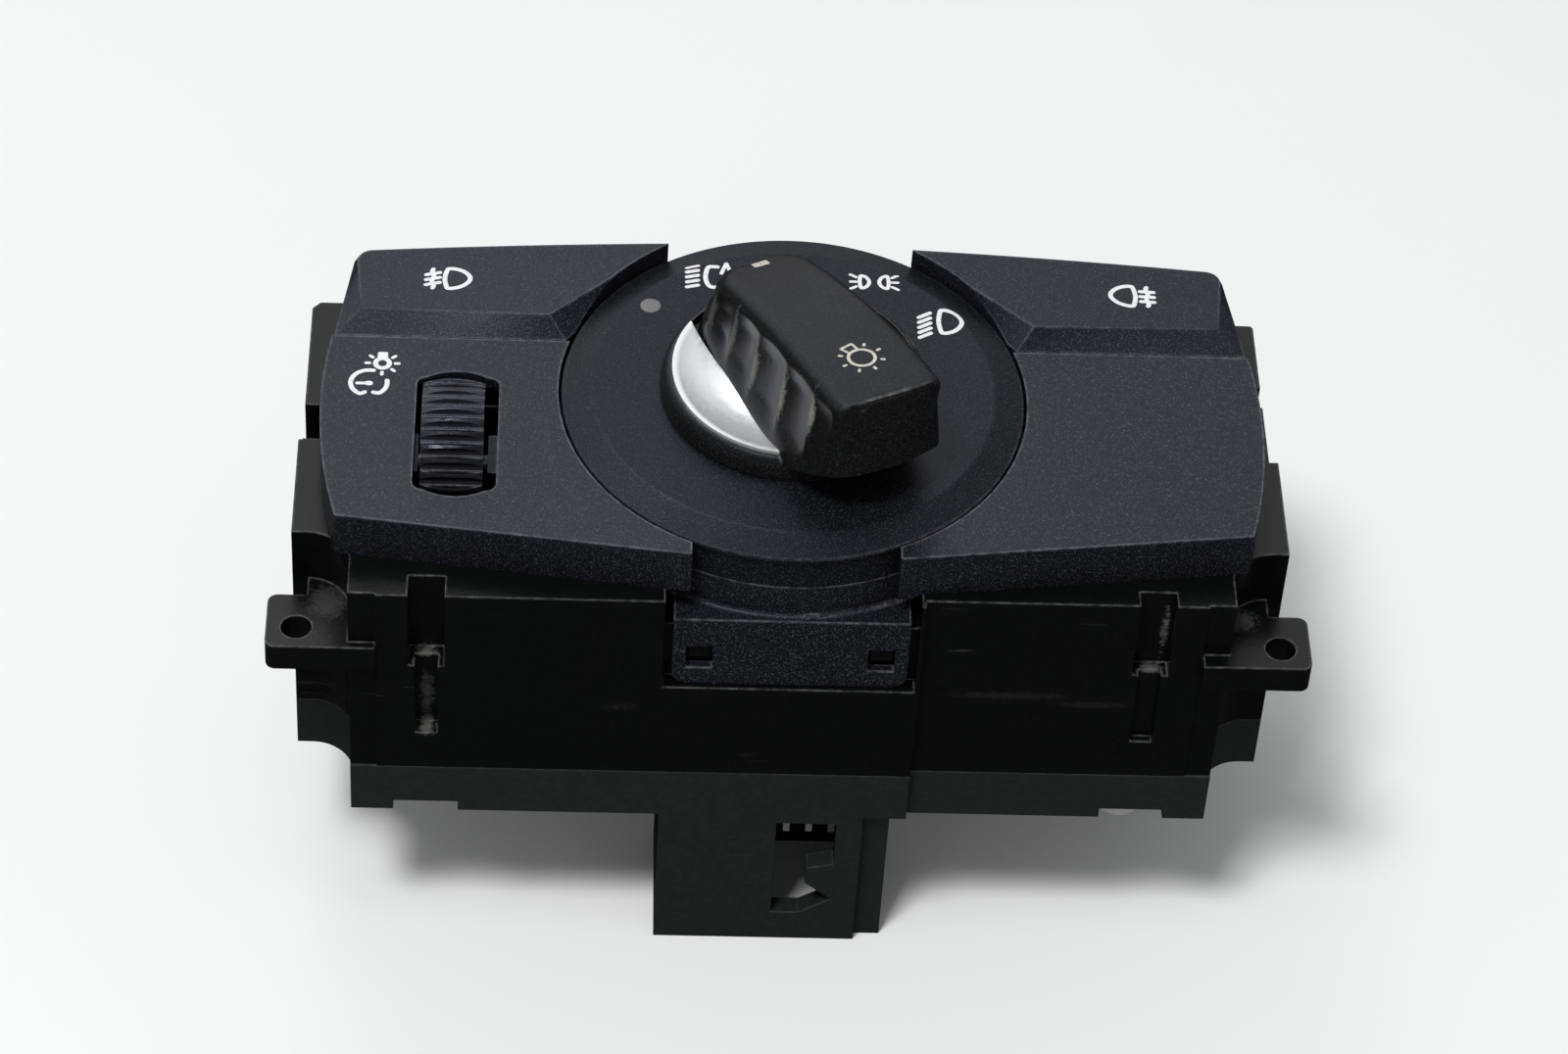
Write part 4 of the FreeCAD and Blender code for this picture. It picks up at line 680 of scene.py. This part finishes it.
# The bar starts as a flat grid whose columns go round it. Its rows are a lid at the foot, the side walls,
# the rounding of the top edge, and the top, which closes on the bar's middle line.
around, side_rows, round_rows, top_rows = 300, 26, 6, 6
all_rows = side_rows + round_rows + top_rows + 1
flank_turn, flank_share = 0.28, 0.55
flank_soft, end_soft = 1.9, 1.0
lid_reach = 12.0
settling_tries = 4
knob_shape = bmesh.new()
bmesh.ops.create_grid(knob_shape, x_segments=around, y_segments=all_rows, size=0.5)
for vertex in knob_shape.verts:
    turn = min(max(vertex.co.x + 0.5, 0.0), 1.0) % 1.0
    row = round((vertex.co.y + 0.5) * all_rows) - 1
    climb = min(max(row, 0) / side_rows, 1.0)
    level = bar_low
    for attempt in range(settling_tries):
        edge = bar_edge(turn, level)
        low = underside_level(edge.length)
        level = low + (arch_level(edge.x) - low) * climb
    on_flank = abs(edge.y) > flank_share * abs(bar_edge(flank_turn, level).y)
    out = Vector((0, edge.y)).normalized() if on_flank else Vector((edge.x, 0)).normalized()
    soft = flank_soft if on_flank else end_soft
    if row < 0:
        edge = edge * min(1.0, lid_reach / edge.length)
        level = bar_low
    elif row <= side_rows:
        level = low + (arch_level(edge.x) - soft - low) * climb
        edge = bar_edge(turn, level)
        if on_flank:
            edge -= out * groove_depth(edge.x, level)
    elif row <= side_rows + round_rows:
        bend = pi / 2 * (row - side_rows) / round_rows
        edge -= out * soft * (1 - cos(bend))
        level = arch_level(edge.x) - soft * (1 - sin(bend))
    else:
        inward = (row - side_rows - round_rows) / top_rows
        edge -= out * soft
        edge.y *= 1 - inward
        level = arch_level(edge.x)
    vertex.co = (edge.x, edge.y, level)

skirt_profile = [
    (6.0, 3.3), (18.4, 3.3), (18.4, 4.95), (18.7, 4.95), (19.15, 4.55), (19.6, 3.9), (19.9, 3.0),
    (skirt_radius, 1.9), (skirt_radius, 1.4), (9.5, 1.4), (9.5, -3.2), (6.0, -3.2),
]
skirt_points = [knob_shape.verts.new((reach, 0, level)) for reach, level in skirt_profile]
skirt_edges = [knob_shape.edges.new(pair) for pair in zip(skirt_points, skirt_points[1:] + skirt_points[:1])]
bmesh.ops.spin(knob_shape, geom=skirt_points + skirt_edges, cent=(0, 0, 0), axis=(0, 0, 1), angle=2 * pi,
               steps=128, use_merge=True, use_duplicate=False)
bmesh.ops.remove_doubles(knob_shape, verts=knob_shape.verts, dist=0.004)
bmesh.ops.recalc_face_normals(knob_shape, faces=knob_shape.faces)
knob_turned = Matrix.Rotation(radians(bar_angle), 4, "Z") @ Matrix.Scale(mm, 4)
bmesh.ops.transform(knob_shape, matrix=Matrix.Translation(dial_centre) @ knob_turned, verts=knob_shape.verts)
knob_mesh = bpy.data.meshes.new("knob_bar")
knob_shape.to_mesh(knob_mesh)
knob_surface = BVHTree.FromBMesh(knob_shape)
knob_shape.free()
knob_bar = show("knob_bar", knob_mesh, knob_black, "knob", smooth_angle=50)
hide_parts("knob_grip")

beige_ink = printed_ink("beige_ink", (0.42, 0.40, 0.34), (0.66, 0.63, 0.55), 2200.0, 3.0, 0.35, 0.6)


def on_bar(along, across):
    """Place on the grip bar, so far from the knob's axis along and across it, as right and up."""
    way = Matrix.Rotation(radians(bar_angle), 2) @ Vector((along, across))
    return way.x, way.y


knob_bulb = bmesh.new()
add_stroke(knob_bulb, [on_circle((0, 0), 2.0, angle) for angle in range(0, 360, 30)], closed=True, width=0.5)
bulb_socket = [(-2.1, -0.8), (-3.5, -1.1), (-3.5, 0.9), (-2.1, 0.8)]
for ends in zip(bulb_socket, bulb_socket[1:]):
    add_stroke(knob_bulb, ends, width=0.42)
for angle in (0, 45, 90, 135, -45, -90, -135):
    add_stroke(knob_bulb, [on_circle((0, 0), reach, angle) for reach in (2.9, 3.25)], width=0.48)
print_symbol("knob_symbol", knob_bulb, knob_surface, *on_bar(18.8, 0.55), "knob", slot="knob_black",
             material=beige_ink, turn=bar_angle + 12)

pointer = bmesh.new()
for shift in (-0.45, 0, 0.45):
    add_stroke(pointer, [(shift, -1.0), (shift, 1.0)], width=0.6)
print_symbol("knob_pointer", pointer, knob_surface, *on_bar(-12.9, 0.0), "knob", slot="knob_black",
             material=beige_ink, turn=bar_angle)


def uneven_finish(name, first, second, scale, roughness, spread, metallic=0.0, grain_depth=0.0):
    """Plain metal, paint or moulding, with a shade and a gloss that differ a little from place to place."""
    material, tree, shader, position = new_material(name, metallic=metallic)
    mottle = noise(tree, position, scale, 3.0)
    gloss = remap(tree, mottle, 0.3, 0.7, roughness - spread, roughness + spread)
    feed(tree, shader.inputs["Base Color"], mix_colour(tree, mottle, first, second))
    feed(tree, shader.inputs["Roughness"], gloss)
    if grain_depth:
        bump(tree, shader, mottle, grain_depth)
    return material


silver = uneven_finish("silver_trim", (0.84, 0.86, 0.88), (0.88, 0.90, 0.92), 900.0, 0.31, 0.05,
                       metallic=0.6, grain_depth=0.00001)
hidden_reach = 16.2 * mm
for side in ("left", "right"):
    crescent = softened(f"knob_trim_{side}", f"silver_crescent_{side}", silver,
                        edge_radius=0.3)
    if side == "right":
        for vertex in crescent.data.vertices:
            away = (vertex.co - dial_centre).to_2d()
            if away.length > hidden_reach:
                vertex.co.x, vertex.co.y = dial_centre.to_2d() + away.normalized() * hidden_reach


# Thumbwheel: rubbery black wheel on a shaft, with grooves all round. Its middle stands proud of its
# rims, so each groove is widest in the middle.
wheel_black = moulded_plastic(
    "wheel_rubber", (0.0025, 0.0030, 0.0040), (0.008, 0.008, 0.010), (0.10, 0.10, 0.12),
    roughness=0.20, specular=0.7, sheen_colour=painted_blue_light_tint, fleck=0.15, wear_and_highlight=0.3, wear_and_highlight_reach=0.0003)
softened("dimmer_wheel", "thumbwheel", wheel_black, edge_radius=0.08)


# Housing and rear cover: black glass-filled moulding, glossier than the face, with scratches and dust
# from years in the dashboard, and pale edge lines that are part wear, part painted highlight. The cover
# carries the plug's shroud.
housing_black = moulded_plastic(
    "housing_black", (0.0018, 0.0032, 0.0032), (0.004, 0.006, 0.006), (0.24, 0.26, 0.26),
    roughness=0.26, specular=0.38, fleck=0.1, wear_and_highlight=0.5, sharpness=20.0, grain_scale=900.0,
    grain_depth=0.00002, scratch=0.10, heaps=[
        heap(-53.7, -34.5, -22.6, (2.7, 4.0, 1.0), 0.40),
        heap(-53.7, -34.8, -31.0, (1.7, 3.0, 7.0), 0.14),
        heap(-53.7, -34.8, -37.0, (1.9, 3.0, 1.6), 0.35),
        heap(55.4, -33.2, -16.0, (0.9, 2.4, 8.0), 0.40),
        heap(53.7, -34.5, -22.8, (2.7, 4.0, 0.9), 0.35),
        heap(66.8, -27.6, -18.2, (4.5, 3.5, 1.5), 0.16),
        heap(-68.5, -28.0, -18.2, (4.5, 5.0, 1.5), 0.12),
        heap(33.0, -35.2, -27.6, (13.0, 2.0, 1.2), 0.03),
        heap(46.0, -35.2, -29.3, (9.0, 2.0, 1.1), 0.025),
        heap(-25.0, -35.2, -30.5, (6.0, 2.0, 1.5), 0.04),
    ])
cover_black = moulded_plastic(
    "cover_black", (0.0135, 0.0190, 0.0190), (0.020, 0.026, 0.026), (0.12, 0.13, 0.13),
    roughness=0.40, specular=0.30, fleck=0.15, wear_and_highlight=0.5, grain_scale=1100.0, grain_depth=0.00003,
    scratch=0.12)
softened("housing", "housing_body", housing_black, edge_radius=0.3)
softened("rear_cover", "rear_cover_body", cover_black, edge_radius=0.3)


# Small parts: plated screws, tinned pins, the circuit board with what is soldered to it, and the clear,
# white and black mouldings inside. They keep the CAD's own meshes and get a finish each.
def metal(name, colour, roughness):
    """Plated metal."""
    return uneven_finish(name, colour, tuple(c * 0.8 for c in colour), 1200.0, roughness, 0.06, metallic=0.55)


def inner_moulding(name, colour, roughness=0.5):
    """Plain plastic or rubber inside the unit."""
    return uneven_finish(name, colour, tuple(c * 0.75 for c in colour), 800.0, roughness, 0.05)


finishes = {
    "steel": metal("zinc_plated_steel", (0.84, 0.84, 0.82), 0.35),
    "tinned_pins": metal("tinned_copper", (0.80, 0.79, 0.75), 0.28),
    "inner_plastic": inner_moulding("inner_plastic", (0.016, 0.016, 0.016)),
    "clear_guide": inner_moulding("clear_guide", (0.78, 0.80, 0.82), 0.15),
    "dome_silicone": inner_moulding("dome_silicone", (0.55, 0.56, 0.56), 0.55),
    "board": inner_moulding("board_resist", (0.02, 0.10, 0.05), 0.35),
    "lamp_white": inner_moulding("lamp_white", (0.80, 0.80, 0.76), 0.4),
    "housing_black": housing_black,
}
for row in frame["record"]["subparts"]:
    node = frame["nodes"][row["node"]]
    if node.hide_render:
        continue
    node.data.materials.clear()
    node.data.materials.append(finishes[row["material_slot"]])


# Domes: a silicone cup stands on the board under each fog button. It gives way as the button goes down;
# here each is a copy of its CAD node with its own mesh, shown in place of the node.
for side in ("front_fog", "rear_fog"):
    soft = frame["nodes"][f"{side}_dome"]
    dome = show(f"{side}_cup", soft.data.copy(), finishes["dome_silicone"], "housing")
    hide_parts(f"{side}_dome")
    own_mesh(dome)


# Floor: a pale table in a white room. What gloss mirrors of it is much darker than what the camera sees,
# so that the unit's walls stay black.
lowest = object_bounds()[0].z
floor_mesh = bpy.data.meshes.new("floor")
floor_shape = bmesh.new()
bmesh.ops.create_grid(floor_shape, x_segments=1, y_segments=1, size=3.0,
                      matrix=Matrix.Translation((0, 0, lowest)))
floor_shape.to_mesh(floor_mesh)
floor_shape.free()
floor = bpy.data.objects.new("floor", floor_mesh)
scene.collection.objects.link(floor)
floor_paint, floor_tree, floor_shader, floor_position = new_material("floor_paint", roughness=0.8,
                                                                     specular=0.1)
floor_pale = mix_colour(floor_tree, noise(floor_tree, floor_position, 9.0, 3.0),
                        (0.855, 0.885, 0.87), (0.885, 0.91, 0.895))
floor_mirrored = (0.035, 0.04, 0.04)
floor_sight = floor_tree.nodes.new("ShaderNodeLightPath").outputs["Is Glossy Ray"]
feed(floor_tree, floor_shader.inputs["Base Color"],
     mix_colour(floor_tree, floor_sight, floor_pale, floor_mirrored))
floor_mesh.materials.append(floor_paint)


# Lamps: a soft room light in front and to the left gives most of the light, with a weaker lamp beside it
# for its gleam, a narrow one overhead and a window behind the unit, which draw the lines on the edges.
def soft_lamp(name, place, size, power, tint=(1, 1, 1), mirrored=True):
    """Rectangular lamp that looks at the unit; with mirrored off, gloss doesn't show it."""
    data = bpy.data.lights.new(name, "AREA")
    data.shape = "RECTANGLE"
    data.size, data.size_y = size
    data.energy = power
    data.color = tint
    lamp = bpy.data.objects.new(name, data)
    scene.collection.objects.link(lamp)
    lamp.location = place
    lamp.rotation_mode = "QUATERNION"
    lamp.rotation_quaternion = (-Vector(place)).to_track_quat("-Z", "Y")
    lamp.visible_glossy = mirrored


soft_lamp("room_light", (-0.46, -0.70, 1.84), (0.40, 0.40), 24.0, mirrored=False)
soft_lamp("room_gleam", (-0.62, -0.60, 1.82), (0.30, 0.30), 5.0)
soft_lamp("ceiling_light", (-0.10, -0.20, 1.30), (0.50, 0.08), 0.9)
soft_lamp("window_light", (-0.25, 0.62, 1.15), (0.50, 0.22), 1.6, (0.93, 1.0, 1.0))

# Room: even light on all sides for dull surfaces. What gloss mirrors is brighter towards the window
# behind the unit and darker near the horizon and behind the camera.
plain_level = 0.36
darkest_mirrored, brightest_mirrored = 0.18, 1.05
world = bpy.data.worlds.new("room")
scene.world = world
world.use_nodes = True
room = world.node_tree
outlook = room.nodes.new("ShaderNodeTexCoord").outputs["Generated"]
to_window = Vector((-0.30, 0.66, 0.69)).normalized()
window_share = vector_node(room, "DOT_PRODUCT", outlook, to_window).outputs["Value"]
room_sight = room.nodes.new("ShaderNodeLightPath").outputs["Is Glossy Ray"]
room_level = add_node(room, "ShaderNodeMix", Factor=room_sight)
feed(room, room_level.inputs[2], plain_level)
feed(room, room_level.inputs[3], remap(room, window_share, 0.55, 1.0, darkest_mirrored, brightest_mirrored))
room.nodes["Background"].inputs["Color"].default_value = (0.96, 0.99, 1.0, 1)
feed(room, room.nodes["Background"].inputs["Strength"], room_level.outputs[0])

bpy.context.view_layer.update()
